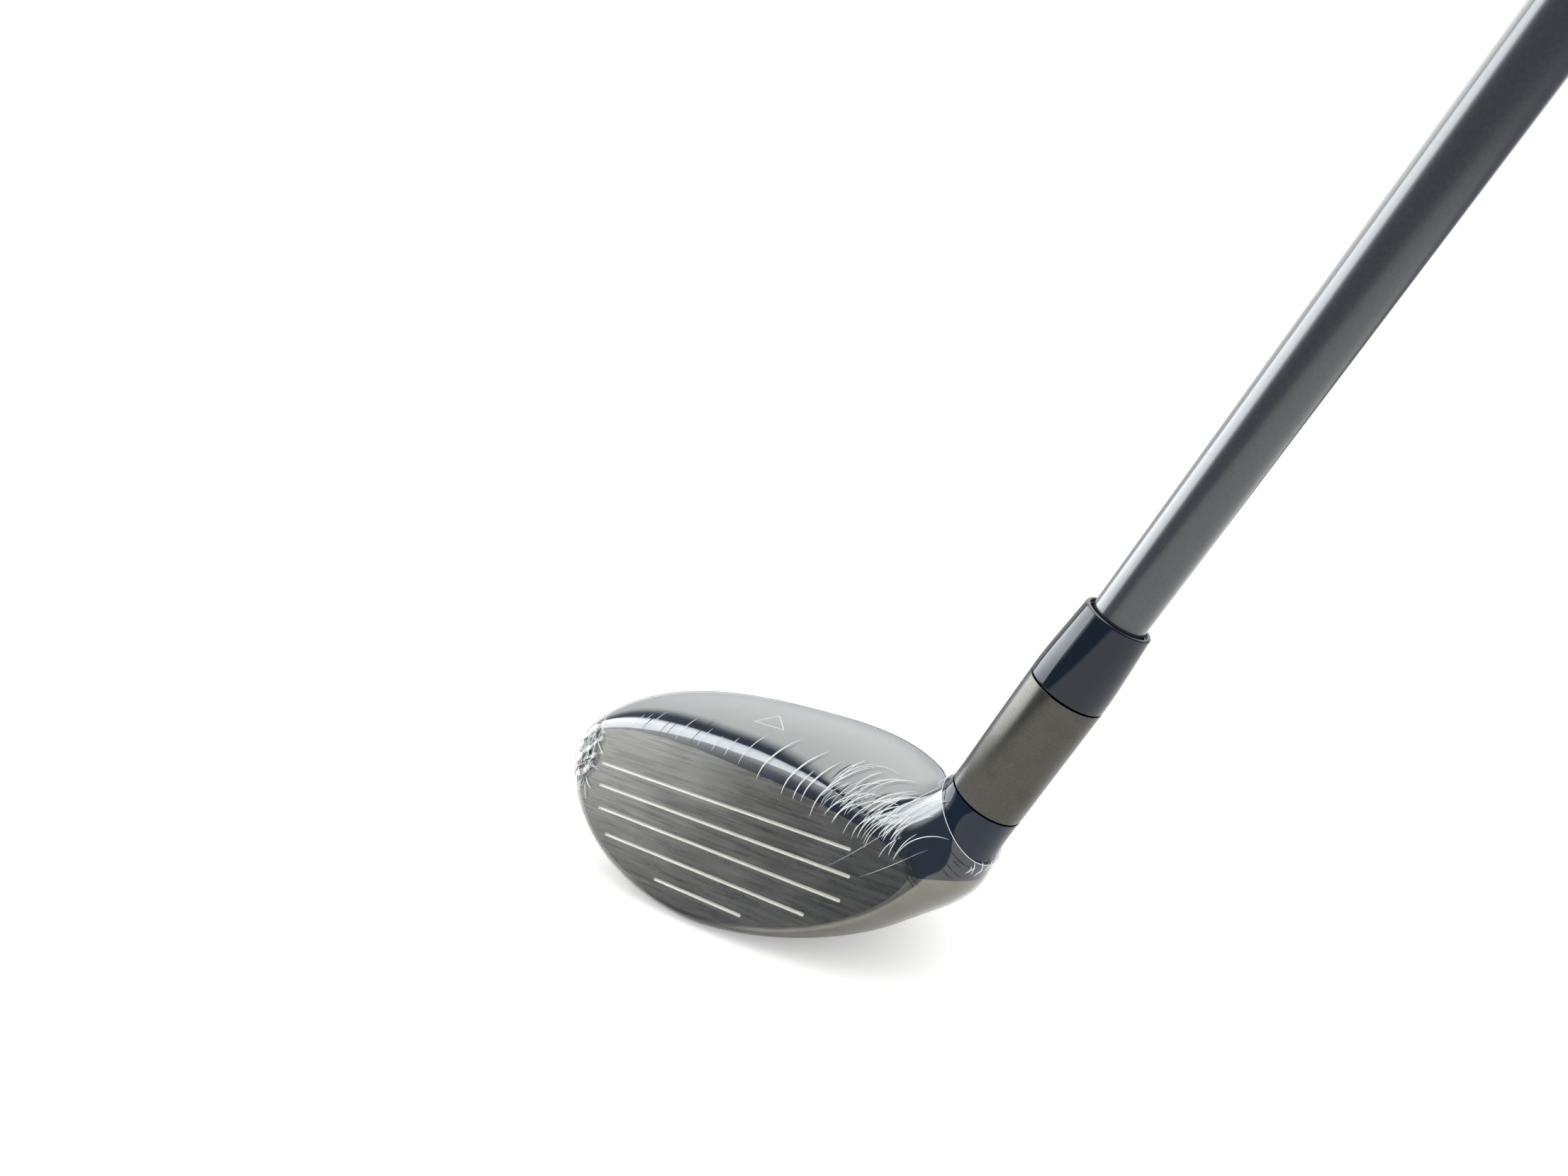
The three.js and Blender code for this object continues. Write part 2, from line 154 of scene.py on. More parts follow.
UP = Vector((0, 0, 1))
WINDOW_MIDDLE = facing(-56, 0)
WINDOW_SIDE = facing(34, 0)
TENT_MIDDLE = facing(-140, 30)
WINDOW_LIGHT = 4.3
GLOW_LIGHT = 2.6
TENT_LOW, TENT_HIGH = 0.5, 4.3
ALL_ROUND = 1.3
window = region((WINDOW_MIDDLE, 0.61, 0.63), (WINDOW_SIDE, 0.12, 0.09), (UP, 0.02, 0.07))
window_light = add(sky, "ShaderNodeMath", {0: window, 1: WINDOW_LIGHT}, operation="MULTIPLY")
tent = region((WINDOW_MIDDLE, 0.585, 0.52), (TENT_MIDDLE, 0.0, 0.15))
height = add(sky, "ShaderNodeSeparateXYZ", {"Vector": ray}).outputs["Z"]
steep = add(sky, "ShaderNodeMath", {0: height, 1: height}, operation="MULTIPLY")
cloth = add(sky, "ShaderNodeMath", {0: steep, 1: TENT_HIGH, 2: TENT_LOW}, operation="MULTIPLY_ADD")
tent_light = add(sky, "ShaderNodeMath", {0: cloth, 1: tent}, operation="MULTIPLY")
glow = region((WINDOW_MIDDLE, 0.6, 0.7), (WINDOW_SIDE, 0.30, 0.10), (UP, 0.08, 0.3))
glow_light = add(sky, "ShaderNodeMath", {0: glow, 1: GLOW_LIGHT}, operation="MULTIPLY")
mirrored = lit(ROOM_GREY[:3], "eef4fb", window_light)
mirrored = lit(mirrored, "f4f6f4", glow_light)
mirrored = lit(mirrored, "f8f9f4", tent_light)
glossy_ray = add(sky, "ShaderNodeLightPath").outputs["Is Glossy Ray"]
all_round = add(sky, "ShaderNodeMix", {
    0: glossy_ray, 6: (ALL_ROUND, ALL_ROUND, ALL_ROUND, 1), 7: mirrored}, data_type="RGBA")
studio_light = add(sky, "ShaderNodeBackground", {"Color": all_round})
add(sky, "ShaderNodeOutputWorld", {"Surface": studio_light})
world.cycles.sampling_method = "NONE"

CAMERA_AZIMUTH, CAMERA_ELEVATION, CAMERA_ROLL = 40.02, 5.68, 5.25
CAMERA_LENS = 26.42
CAMERA_DISTANCE = 0.24
CAMERA_AIM = Vector((-0.0078, 0.0092, 0.0638))
towards = -facing(CAMERA_AZIMUTH, CAMERA_ELEVATION)
camera_data = bpy.data.cameras.new("camera")
camera_data.lens = CAMERA_LENS
camera_data.sensor_width = 36.0
camera_data.clip_start = 0.01
camera = bpy.data.objects.new("camera", camera_data)
camera.rotation_mode = "QUATERNION"
level = towards.to_track_quat("-Z", "Y")
camera.rotation_quaternion = level @ Quaternion((0, 0, 1), math.radians(CAMERA_ROLL))
camera.location = CAMERA_AIM - towards * CAMERA_DISTANCE
scene.collection.objects.link(camera)
scene.camera = camera

# ---- head body ---------------------------------------------------------------------------
# A hollow casting of stainless steel: sole, skirt, leading edge and the neck that the hosel
# sits in. It is ground and brushed below, and lacquered blue-black above with the crown.

MM = 0.001
LOFT = math.radians(20)
FACE_NORMAL = Vector((0, -math.cos(LOFT), math.sin(LOFT)))
LEADING_EDGE_Y = -19.7
HEAD_DEPTH = 66.7
TAIL_X, TAIL_Z = -3.0, 19.5
HALF_LENGTH = 47
LEAN_ENDS = 0.6
FACE_FOOT = Vector((0, LEADING_EDGE_Y, 0))
FACE_RIM = 1.0
FACE_THICKNESS = 2.4

grip_mount = next(m for m in frame["record"]["mounts"] if m["name"] == "grip")
AXIS = Vector(grip_mount["axis"]).normalized()
AXIS_POINT = Vector(grip_mount["pos_m"]) / MM
HOSEL_RADIUS = 6.8
BARE_HOSEL = 24.85


def along_from(point, name):
    """Where a turned CAD node starts and ends along the axis, in mm from a point on it."""
    along = [(v.co / MM - point).dot(AXIS) for v in frame["nodes"][name].data.vertices]
    return min(along), max(along)


# The ring is where the painted neck ends, the hosel's bare length below the ferrule.
RING = AXIS_POINT + AXIS * (along_from(AXIS_POINT, "ferrule")[0] - BARE_HOSEL)


def on_axis(s):
    """The point of the shaft axis s mm above the ring."""
    return RING + AXIS * s


def head_guides(u):
    """Toe, heel, crown and sole points of the head's section at u, 0 at the face, 1 at the tail.
    Each closes to the tail along a round curve, less a share that fades out behind the face, and
    fullness says how square the section's four quarters are (above the middle, heel side)."""
    u = max(0.0, min(1.0, u))

    def closing(power, root):
        return (1 - u ** power) ** root

    def from_face(reach):
        return math.exp(-u / reach)

    toe = (TAIL_X - 47.5 * closing(2.2, 0.556) + 5.8 * from_face(0.08), TAIL_Z + 5.3 * from_face(0.2))
    heel = (TAIL_X + 51 * closing(1.8, 0.6) - 3.5 * from_face(0.06), TAIL_Z + 3 * from_face(0.2))
    crown = (TAIL_X + 10 * (1 - u) - 21 * from_face(0.12),
             TAIL_Z + 21.6 * closing(2.6, 0.625) - 9.5 * from_face(0.1))
    sole = (TAIL_X + 1.4 * from_face(0.2), TAIL_Z - 19.75 * closing(4, 0.556) + 1.95 * from_face(0.06))
    fullness = {
        (True, True): 2.75 - 1.2 * from_face(0.1),
        (True, False): 2.6,
        (False, False): 1.95,
        (False, True): 1.8 - 0.15 * from_face(0.1),
    }
    return toe, heel, crown, sole, fullness


def head_point(around, u, inset=0.0):
    """A point of the head's skin: around is 0 at the heel, 0.25 crown, 0.5 toe, 0.75 sole."""
    toe, heel, crown, sole, fullness = head_guides(u)
    cos, sin = math.cos(2 * math.pi * around), math.sin(2 * math.pi * around)
    side = heel if cos >= 0 else toe
    end = crown if sin >= 0 else sole
    power = 2 / fullness[(sin >= 0, cos >= 0)]
    x = end[0] + (side[0] - end[0]) * abs(cos) ** power * (1 - inset / HALF_LENGTH)
    z = side[1] + (end[1] - side[1]) * abs(sin) ** power * (1 - inset / TAIL_Z)
    back = max(0.0, min(1.0, u / LEAN_ENDS))
    lean = math.tan(LOFT) * (1 - back * back * (3 - 2 * back))
    y = LEADING_EDGE_Y + inset + u * (HEAD_DEPTH - 2 * inset) + lean * z
    return Vector((x, y, z))


def head_form(inset=0.0, front=-0.06, around=224, along=144):
    """The head's skin as a closed form: a sphere drawn over the guides, pole to the face."""
    form = bmesh.new()
    bmesh.ops.create_uvsphere(form, u_segments=around, v_segments=along, radius=1)
    middle = head_point(0, front, inset).lerp(head_point(0.5, front, inset), 0.5)
    cap = 0.02  # share of the sphere that closes the front flat
    for vert in form.verts:
        turn = math.atan2(vert.co.y, vert.co.x) / (2 * math.pi) % 1
        share = (1 - vert.co.z) / 2
        u = front + (1 - front) * max(0.0, share - cap) / (1 - cap)
        skin = head_point(turn, u, inset)
        vert.co = middle.lerp(skin, min(1.0, share / cap))
    bmesh.ops.recalc_face_normals(form, faces=form.faces)
    return form


NECK_EVEN, NECK_ROOT = -6.0, -11.5
NECK_ROOT_RADIUS = 7.0
NECK_REACH = 6.0


def placed(point, direction):
    """The move that takes a form drawn at the origin along +Z to a point and a direction."""
    turned = UP.rotation_difference(direction).to_matrix().to_4x4()
    return Matrix.Translation(point) @ turned


def neck_form():
    """The neck as a round-ended rod about the shaft axis, running past the ring."""
    form = bmesh.new()
    bmesh.ops.create_uvsphere(form, u_segments=64, v_segments=32, radius=1)
    for vert in form.verts:
        radius = NECK_ROOT_RADIUS if vert.co.z < 0.01 else HOSEL_RADIUS
        vert.co = vert.co * radius
        vert.co.z += NECK_REACH if vert.co.z > 0.01 else NECK_ROOT
    bmesh.ops.transform(form, matrix=placed(RING, AXIS), verts=form.verts)
    return form


def as_object(form, name):
    """A new object in the scene from a form, which is used up."""
    mesh = bpy.data.meshes.new(name)
    form.to_mesh(mesh)
    form.free()
    made = bpy.data.objects.new(name, mesh)
    scene.collection.objects.link(made)
    return made


def with_modifier(piece, kind, **settings):
    """The piece with one modifier applied to its mesh."""
    change = piece.modifiers.new(kind.lower(), kind)
    for name, value in settings.items():
        setattr(change, name, value)
    seen = piece.evaluated_get(bpy.context.evaluated_depsgraph_get())
    mesh = bpy.data.meshes.new_from_object(seen)
    piece.modifiers.clear()
    old = piece.data
    piece.data = mesh
    bpy.data.meshes.remove(old)
    return piece


def cut(piece, cutter, operation="DIFFERENCE"):
    """piece minus cutter, or the operation named, and the cutter is thrown away."""
    with_modifier(piece, "BOOLEAN", object=cutter, operation=operation, solver="MANIFOLD")
    bpy.data.objects.remove(cutter)
    return piece


def copy_of(piece, name):
    """The piece again, with a mesh of its own."""
    made = bpy.data.objects.new(name, piece.data.copy())
    scene.collection.objects.link(made)
    return made


master_form = head_form()
skin_tree = BVHTree.FromBMesh(master_form)
skin_faces = [[v.index for v in f.verts] for f in master_form.faces]
skin_spots = [v.co.copy() for v in master_form.verts]
master_form.normal_update()
skin_normals = [v.normal.copy() for v in master_form.verts]


def from_head(point):
    """Distance from the head's skin, negative inside, and the direction out of it."""
    spot, _, face, _ = skin_tree.find_nearest(point)
    corners = skin_faces[face]
    weights = poly_3d_calc([skin_spots[i] for i in corners], spot)
    out = Vector((0, 0, 0))
    for weight, i in zip(weights, corners):
        out += skin_normals[i] * weight
    out.normalize()
    return (point - spot).dot(out), out


def from_neck(point):
    """Distance from the neck's surface, negative inside, and the direction out of it."""
    along = max(NECK_ROOT, (point - RING).dot(AXIS))
    out = point - on_axis(along)
    root_share = max(0.0, min(1.0, (NECK_EVEN - along) / (NECK_EVEN - NECK_ROOT)))
    radius = HOSEL_RADIUS + (NECK_ROOT_RADIUS - HOSEL_RADIUS) * root_share
    return out.length - radius, out.normalized()


def from_face_plane(point):
    """Distance in front of the face plane, negative behind it, and the direction out of it."""
    return (point - FACE_FOOT).dot(FACE_NORMAL), FACE_NORMAL


def joined(first, second, reach, sign=1):
    """Smooth union (sign 1) or smooth meeting (sign -1) of two distances with their directions."""
    overlap = max(0.0, 1 - abs(first[0] - second[0]) / reach)
    near, far = (first, second) if (first[0] < second[0]) == (sign > 0) else (second, first)
    blended = near[1].lerp(far[1], overlap / 2).normalized()
    return near[0] - sign * overlap * overlap * reach / 4, blended


def skin_at(point, fillet, edge):
    """Distance from the head with its neck faired in and its face edge rounded over."""
    head = from_head(point)
    neck = from_neck(point)
    whole = joined(head, neck, fillet) if abs(neck[0] - head[0]) < fillet or neck[0] < head[0] else head
    flat = from_face_plane(point)
    return joined(whole, flat, edge * (whole[1] - flat[1]).length, -1)


def settle(piece, fillet, edge, grow=0.0, rounds=5):
    """Draws a rough mesh onto the exact skin, evening out its faces on the way."""
    form = bmesh.new()
    form.from_mesh(piece.data)
    for turn in range(rounds):
        if turn < rounds - 1:
            bmesh.ops.smooth_vert(form, verts=form.verts, factor=0.5,
                                  use_axis_x=True, use_axis_y=True, use_axis_z=True)
        for vert in form.verts:
            distance, out = skin_at(vert.co, fillet, edge)
            vert.co -= out * (distance - grow)
            if turn == rounds - 1 and abs(distance - grow) > 0.01:
                distance, out = skin_at(vert.co, fillet, edge)
                vert.co -= out * (distance - grow)
    form.to_mesh(piece.data)
    form.free()
    return piece


# The neck is faired in with a fillet, and the edge of the face is rounded over.
FILLET = 9.0
FACE_EDGE = 0.9
MESH_STEP = 0.64


def plain_block(low, high):
    """A box between two corners."""
    form = bmesh.new()
    bmesh.ops.create_cube(form, size=1)
    size = high - low
    bmesh.ops.scale(form, vec=size, verts=form.verts)
    bmesh.ops.translate(form, vec=low + size / 2, verts=form.verts)
    return form


def half_space(point, normal, side=160):
    """A large block on the side of a plane that its normal points to."""
    form = plain_block(Vector((-side, -side, 0)), Vector((side, side, 2 * side)))
    bmesh.ops.transform(form, matrix=placed(point, normal), verts=form.verts)
    return as_object(form, "half_space")


def head_and_neck(step):
    """Head and neck as one closed mesh of even small faces, not yet faired."""
    both = bmesh.new()
    for form in (master_form.copy(), neck_form()):
        mesh = bpy.data.meshes.new("part")
        form.to_mesh(mesh)
        form.free()
        both.from_mesh(mesh)
        bpy.data.meshes.remove(mesh)
    piece = as_object(both, "rough_head")
    with_modifier(piece, "REMESH", mode="VOXEL", voxel_size=step, use_smooth_shade=True)
    cut(piece, half_space(FACE_FOOT, FACE_NORMAL))
    return with_modifier(piece, "REMESH", mode="VOXEL", voxel_size=step, use_smooth_shade=True)


unfaired = head_and_neck(MESH_STEP)
master = settle(copy_of(unfaired, "master"), FILLET, FACE_EDGE)
RING_GAP = 0.15
cut(master, half_space(on_axis(-RING_GAP), AXIS, side=20))
cut(master, half_space(Vector((0, 0, 0)), -UP))

FACE_SIDES = 220
FACE_CENTRE = Vector((TAIL_X, 0, 16.5))


def face_prism(rim, front, back):
    """The face's outline, rim inside its edge, from front to back mm behind the face plane."""
    form = bmesh.new()
    bmesh.ops.create_circle(form, cap_ends=True, segments=FACE_SIDES, radius=1)
    centre = FACE_CENTRE + Vector((0, LEADING_EDGE_Y + math.tan(LOFT) * FACE_CENTRE.z, 0))
    for vert in form.verts:
        edge = head_point(math.atan2(vert.co.y, vert.co.x) / (2 * math.pi) % 1, 0)
        vert.co = edge - (edge - centre).normalized() * rim - FACE_NORMAL * front
    made = bmesh.ops.extrude_face_region(form, geom=form.faces[:])
    moved = [item for item in made["geom"] if isinstance(item, bmesh.types.BMVert)]
    bmesh.ops.translate(form, vec=-FACE_NORMAL * (back - front), verts=moved)
    bmesh.ops.recalc_face_normals(form, faces=form.faces)
    return form


CROWN_LINE_POINT = Vector((0, -10, 25.3))
CROWN_LINE_NORMAL = Vector((0, 0.08, 1)).normalized()
CROWN_HEEL_X = 33.85


def crown_block():
    """Everything above the line where the crown meets the body, up to the heel joint."""
    block = half_space(CROWN_LINE_POINT, CROWN_LINE_NORMAL)
    return cut(block, half_space(Vector((CROWN_HEEL_X, 0, 0)), Vector((1, 0, 0)), side=400))


BADGE_LOW, BADGE_HIGH = (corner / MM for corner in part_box("sole_badge"))
BADGE_CORNER = 2.5


def badge_prism(grow):
    """The badge's outline as an upright block with rounded corners."""
    low = Vector((BADGE_LOW.x - grow, BADGE_LOW.y - grow, -5))
    high = Vector((BADGE_HIGH.x + grow, BADGE_HIGH.y + grow, 10))
    form = plain_block(low, high)
    upright = [e for e in form.edges if abs(e.verts[0].co.z - e.verts[1].co.z) > 1]
    bmesh.ops.bevel(form, geom=upright, offset=BADGE_CORNER, offset_type="OFFSET", segments=8, profile=0.5,
                    affect="EDGES", material=-1)
    return as_object(form, "badge_prism")


def shell(wall):
    """The head hollowed to a wall of this many mm, open at the face."""
    piece = copy_of(master, "shell")
    cut(piece, as_object(head_form(wall, 0.045, 96, 64), "cavity"))
    cut(piece, as_object(face_prism(FACE_RIM - 0.05, -3, FACE_THICKNESS + 0.1), "pocket"))
    return cut(piece, as_object(face_prism(4, -3, 7), "opening"))


# Behind the face the skin's direction rolls round from the face's own over ROLL_LEAST, or up
# to ROLL_DEPTH more where the two are alike. From EVEN_FROM back it is evened between neighbours.
ROLL_LEAST, ROLL_DEPTH = 0.3, 1.9
EVEN_FROM, EVEN_ROUNDS = 4.0, 6
ON_SKIN = 0.055
ALIKE = 0.6


def finish_head(piece, name, edge=FACE_EDGE, levels=((0.0, 1),)):
    """Names the piece, gives its skin the exact directions of the form, and makes it metric.
    levels are the heights over the form at which the piece has skin, and which way it faces."""
    piece.name = name
    piece.data.name = name
    mesh = piece.data
    mesh.shade_smooth()
    on_skin = []
    far_back = []
    for vert in mesh.vertices:
        distance, out = skin_at(vert.co, FILLET, edge)
        depth = levels[0][0] - from_face_plane(vert.co)[0]
        roll = min(1.0, max(0.0, depth) / (ROLL_LEAST + ROLL_DEPTH * max(0.0, out.dot(FACE_NORMAL)) ** 2))
        out = FACE_NORMAL.lerp(out, math.sin(math.pi / 2 * roll)).normalized()
        way = next((way for level, way in levels if abs(distance - level) < ON_SKIN), 0)
        on_skin.append(out * way if way else None)
        far_back.append(depth > EVEN_FROM)
    beside = [[] for _ in mesh.vertices]
    for link in mesh.edges:
        first, second = link.vertices
        beside[first].append(second)
        beside[second].append(first)
    for _ in range(EVEN_ROUNDS):
        evened = list(on_skin)
        for i, near in enumerate(beside):
            if on_skin[i] and far_back[i]:
                evened[i] = sum((on_skin[j] for j in near if on_skin[j]), on_skin[i]).normalized()
        on_skin = evened
    normals = [(0, 0, 0)] * len(mesh.loops)
    for face in mesh.polygons:
        outs = [on_skin[i] for i in face.vertices]
        if all(out is not None and out.dot(face.normal) > ALIKE for out in outs):
            for loop, out in zip(face.loop_indices, outs):
                normals[loop] = out[:]
        elif len(levels) == 1:
            face.use_smooth = False
    mesh.normals_split_custom_set(normals)
    mesh.transform(Matrix.Scale(MM, 4))
    return piece


BODY_WALL = 2.0
head_body = shell(BODY_WALL)
cut(head_body, crown_block())
spigot_low = along_from(RING, "hosel_sleeve")[0]
spigot_high = 3.0
SPIGOT_BORE = 6.0


def rod(start, end, radius):
    """A rod about the shaft axis, from start to end mm above the ring."""
    form = bmesh.new()
    bmesh.ops.create_cone(form, cap_ends=True, segments=64, radius1=radius, radius2=radius,
                          depth=end - start)
    bmesh.ops.transform(form, matrix=placed(on_axis((start + end) / 2), AXIS), verts=form.verts)
    return as_object(form, "rod")


cut(head_body, rod(spigot_low - 0.2, spigot_high, SPIGOT_BORE))
BADGE_GAP = 0.15
BADGE_THICKNESS = 0.8
recess_floor = as_object(head_form(BADGE_THICKNESS + BADGE_GAP, 0.0, 96, 64), "recess_floor")
recess = cut(badge_prism(BADGE_GAP), recess_floor)
cut(head_body, recess)
finish_head(head_body, "head_shell")
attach(head_body, "root")
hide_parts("head_body")


def lacquer(tree):
    """Gloss blue-black lacquer, near mirror, with a very slight orange peel."""
    place = add(tree, "ShaderNodeTexCoord").outputs["Object"]
    peel = add(tree, "ShaderNodeTexNoise", {"Vector": place, "Scale": 1 / (6 * MM), "Detail": 0.0})
    cloud = add(tree, "ShaderNodeTexNoise", {"Vector": place, "Scale": 1 / (12 * MM)})
    tone = add(tree, "ShaderNodeMix", {0: cloud, 6: colour("081626"), 7: colour("0b1a2c")},
               data_type="RGBA")
    relief = add(tree, "ShaderNodeBump", {"Height": peel, "Strength": 0.04, "Distance": 0.04 * MM})
    return add(tree, "ShaderNodeBsdfPrincipled", {
        "Base Color": tone, "Roughness": 0.03, "IOR": 1.5, "Normal": relief})


# Satin stainless casting: a warm grey, brushed in short strokes along the sole.
head_steel, tree = material("satin brushed stainless casting, lacquered neck")
place = add(tree, "ShaderNodeTexCoord").outputs["Object"]
drawn_out = add(tree, "ShaderNodeMapping", {"Vector": place, "Scale": (0.06, 1, 1)})
grain = add(tree, "ShaderNodeTexNoise", {"Vector": drawn_out, "Scale": 1 / (0.25 * MM), "Detail": 3.0})
cloud = add(tree, "ShaderNodeTexNoise", {"Vector": place, "Scale": 1 / (9 * MM)})
patches = add(tree, "ShaderNodeMapRange", {
    "Value": cloud, "From Min": 0.35, "From Max": 0.65, "To Max": 0.5})
tone = add(tree, "ShaderNodeMix", {0: grain, 6: colour("7d7970"), 7: colour("918d83")}, data_type="RGBA")
tone = add(tree, "ShaderNodeMix", {0: patches, 6: tone, 7: colour("6d6a62")}, data_type="RGBA")
axes = add(tree, "ShaderNodeSeparateXYZ", {"Vector": place}).outputs
# Below 2.2 to 4.4 mm the steel is painted dark: painted shade that stands for the dark ground mirrored
# along the sole.
sole = add(tree, "ShaderNodeMapRange", {"Value": axes["Z"], "From Min": 2.2 * MM, "From Max": 4.4 * MM,
                                        "To Min": 0.95, "To Max": 0.0})
tone = add(tree, "ShaderNodeMix", {0: sole, 6: tone, 7: colour("343331")}, data_type="RGBA")
steel = add(tree, "ShaderNodeBsdfPrincipled", {
    "Base Color": tone, "Metallic": 1.0,
    "Roughness": add(tree, "ShaderNodeMapRange", {"Value": grain, "To Min": 0.28, "To Max": 0.4}),
    "Normal": add(tree, "ShaderNodeBump", {"Height": grain, "Strength": 0.12, "Distance": 0.03 * MM})})
# The lacquer ends at a line that drops towards the back and rises towards the toe.
line = add(tree, "ShaderNodeMapRange", {"Value": axes["Y"], "From Min": -10 * MM, "From Max": 70 * MM,
                                        "To Min": 25.9 * MM, "To Max": 19.5 * MM})
drop = add(tree, "ShaderNodeMapRange", {"Value": axes["X"], "From Min": 20 * MM, "From Max": 40 * MM,
                                        "To Max": 4.2 * MM})
above = add(tree, "ShaderNodeMath", {0: axes["Z"], 1: line}, operation="SUBTRACT")
above = add(tree, "ShaderNodeMath", {0: above, 1: drop}, operation="ADD")
painted = add(tree, "ShaderNodeMapRange", {"Value": above, "From Min": -0.05 * MM, "From Max": 0.05 * MM})
both = add(tree, "ShaderNodeMixShader", {0: painted, 1: steel, 2: lacquer(tree)})
add(tree, "ShaderNodeOutputMaterial", {"Surface": both})
head_body.data.materials.clear()
head_body.data.materials.append(head_steel)

# ---- crown -------------------------------------------------------------------------------
# A thin pressed steel shell welded to the body, ground flush and sprayed with gloss blue-black
# lacquer. A plain pale triangle outline near the topline is the aiming mark.

CROWN_WALL = 1.2
crown = shell(CROWN_WALL)
cut(crown, crown_block(), "INTERSECT")
finish_head(crown, "crown")
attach(crown, "root")
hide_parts("crown_shell")
crown_lacquer, tree = material("gloss blue-black lacquer, printed aiming mark")
MARK_X, MARK_Y = 0.0, 0.2
MARK_SIZE, MARK_LINE = 2.0, 0.14
MARK_WIDENING = 0.45
place = add(tree, "ShaderNodeTexCoord").outputs["Object"]
offset = add(tree, "ShaderNodeMapping", {
    "Vector": place, "Location": (-MARK_X * MM, -MARK_Y * MM, 0), "Scale": (MARK_WIDENING, 1, 0)})
# The mark is an even triangle drawn out heel to toe. Before it is drawn out, each of its sides is
# a line at the same distance from its middle.
outside = -1.0
for azimuth in (180, 60, -60):
    side = add(tree, "ShaderNodeVectorMath", {
        0: offset, 1: facing(azimuth, 0) * -1}, operation="DOT_PRODUCT")
    outside = add(tree, "ShaderNodeMath", {0: side, 1: outside}, operation="MAXIMUM")
marked = add(tree, "ShaderNodeMath", {0: outside, 1: MARK_SIZE / 2 * MM, 2: MARK_LINE / 2 * MM},
             operation="COMPARE")
ink = add(tree, "ShaderNodeBsdfPrincipled", {"Base Color": colour("9a9fa3"), "Roughness": 0.3, "IOR": 1.5})
printed = add(tree, "ShaderNodeMixShader", {0: marked, 1: lacquer(tree), 2: ink})
add(tree, "ShaderNodeOutputMaterial", {"Surface": printed})
crown.data.materials.clear()
crown.data.materials.append(crown_lacquer)

# ---- face plate --------------------------------------------------------------------------
# A plate of maraging steel welded into the front of the head, brushed heel to toe, with five
# milled score lines whose floors are left pale by the blasting.

plate_form = face_prism(FACE_RIM, 0.0, FACE_THICKNESS)
SCORE_WIDTH, SCORE_DEPTH = 0.68, 0.3
SCORE_LINES = ((22.5, -37, 30.5), (18.3, -35.5, 32), (14.1, -33.5, 31.5), (9.8, -29, 25), (5.6, -12, 11.5))
# The plate is parted between its lines, so that each is milled into a flat of its own.
for (upper, _, _), (lower, _, _) in zip(SCORE_LINES, SCORE_LINES[1:]):
    between = Vector((0, 0, (upper + lower) / 2))
    bmesh.ops.bisect_plane(plate_form, geom=plate_form.verts[:] + plate_form.edges[:] + plate_form.faces[:],
                           plane_co=between, plane_no=UP)
face_plate = as_object(plate_form, "face")
for height_up, toe_end, heel_end in SCORE_LINES:
    groove = bmesh.new()
    bmesh.ops.create_uvsphere(groove, u_segments=24, v_segments=17, radius=SCORE_WIDTH / 2)
    half = (heel_end - toe_end - SCORE_WIDTH) / 2
    for vert in groove.verts:
        vert.co.z += math.copysign(half, vert.co.z)
    lying = Matrix.Rotation(math.pi / 2, 4, "Y")
    sunk = Matrix.Scale(SCORE_DEPTH / (SCORE_WIDTH / 2), 4, (0, 1, 0))
    tilted = Matrix.Rotation(-LOFT, 4, "X")
    spot = Vector(((toe_end + heel_end) / 2, LEADING_EDGE_Y + math.tan(LOFT) * height_up, height_up))
    bmesh.ops.transform(groove, matrix=Matrix.Translation(spot) @ tilted @ sunk @ lying, verts=groove.verts)
    cut(face_plate, as_object(groove, "groove"))
face_plate.data.shade_flat()
face_plate.data.transform(Matrix.Scale(MM, 4))
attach(face_plate, "root")
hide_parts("face_plate")

# Brushed steel: long strokes from heel to toe, each a little lighter or darker. The real ones are
# some 0.1 mm wide, and these are drawn at 0.6 mm so that they show.
face_steel, tree = material("heel-to-toe brushed steel")
place = add(tree, "ShaderNodeTexCoord").outputs["Object"]
long_strokes = add(tree, "ShaderNodeMapping", {"Vector": place, "Scale": (0.035, 0, 1)})
short_strokes = add(tree, "ShaderNodeMapping", {"Vector": place, "Scale": (0.12, 0, 1)})
strokes = add(tree, "ShaderNodeTexNoise", {"Vector": long_strokes, "Scale": 1 / (0.6 * MM), "Detail": 1.0,
                                           "Roughness": 0.6})
broad = add(tree, "ShaderNodeTexNoise", {"Vector": short_strokes, "Scale": 1 / (1.8 * MM)})
cloud = add(tree, "ShaderNodeTexNoise", {"Vector": place, "Scale": 1 / (14 * MM)})
contrast = add(tree, "ShaderNodeMapRange", {"Value": strokes, "From Min": 0.3, "From Max": 0.7})
darker = add(tree, "ShaderNodeMapRange", {
    "Value": broad, "From Min": 0.35, "From Max": 0.65, "To Max": 0.35})
lighter = add(tree, "ShaderNodeMapRange", {
    "Value": cloud, "From Min": 0.4, "From Max": 0.65, "To Max": 0.2})
behind = add(tree, "ShaderNodeVectorMath", {0: place, 1: FACE_NORMAL}, operation="DOT_PRODUCT")
flat = FACE_FOOT.dot(FACE_NORMAL) * MM
in_groove = add(tree, "ShaderNodeMapRange", {"Value": behind, "From Min": flat - 0.06 * MM,
                                             "From Max": flat - 0.02 * MM, "To Min": 1.0, "To Max": 0.0})
tone = add(tree, "ShaderNodeMix", {0: contrast, 6: colour("4b4945"), 7: colour("6e6c66")}, data_type="RGBA")
tone = add(tree, "ShaderNodeMix", {0: darker, 6: tone, 7: colour("494743")}, data_type="RGBA")
tone = add(tree, "ShaderNodeMix", {0: lighter, 6: tone, 7: colour("8f8d86")}, data_type="RGBA")
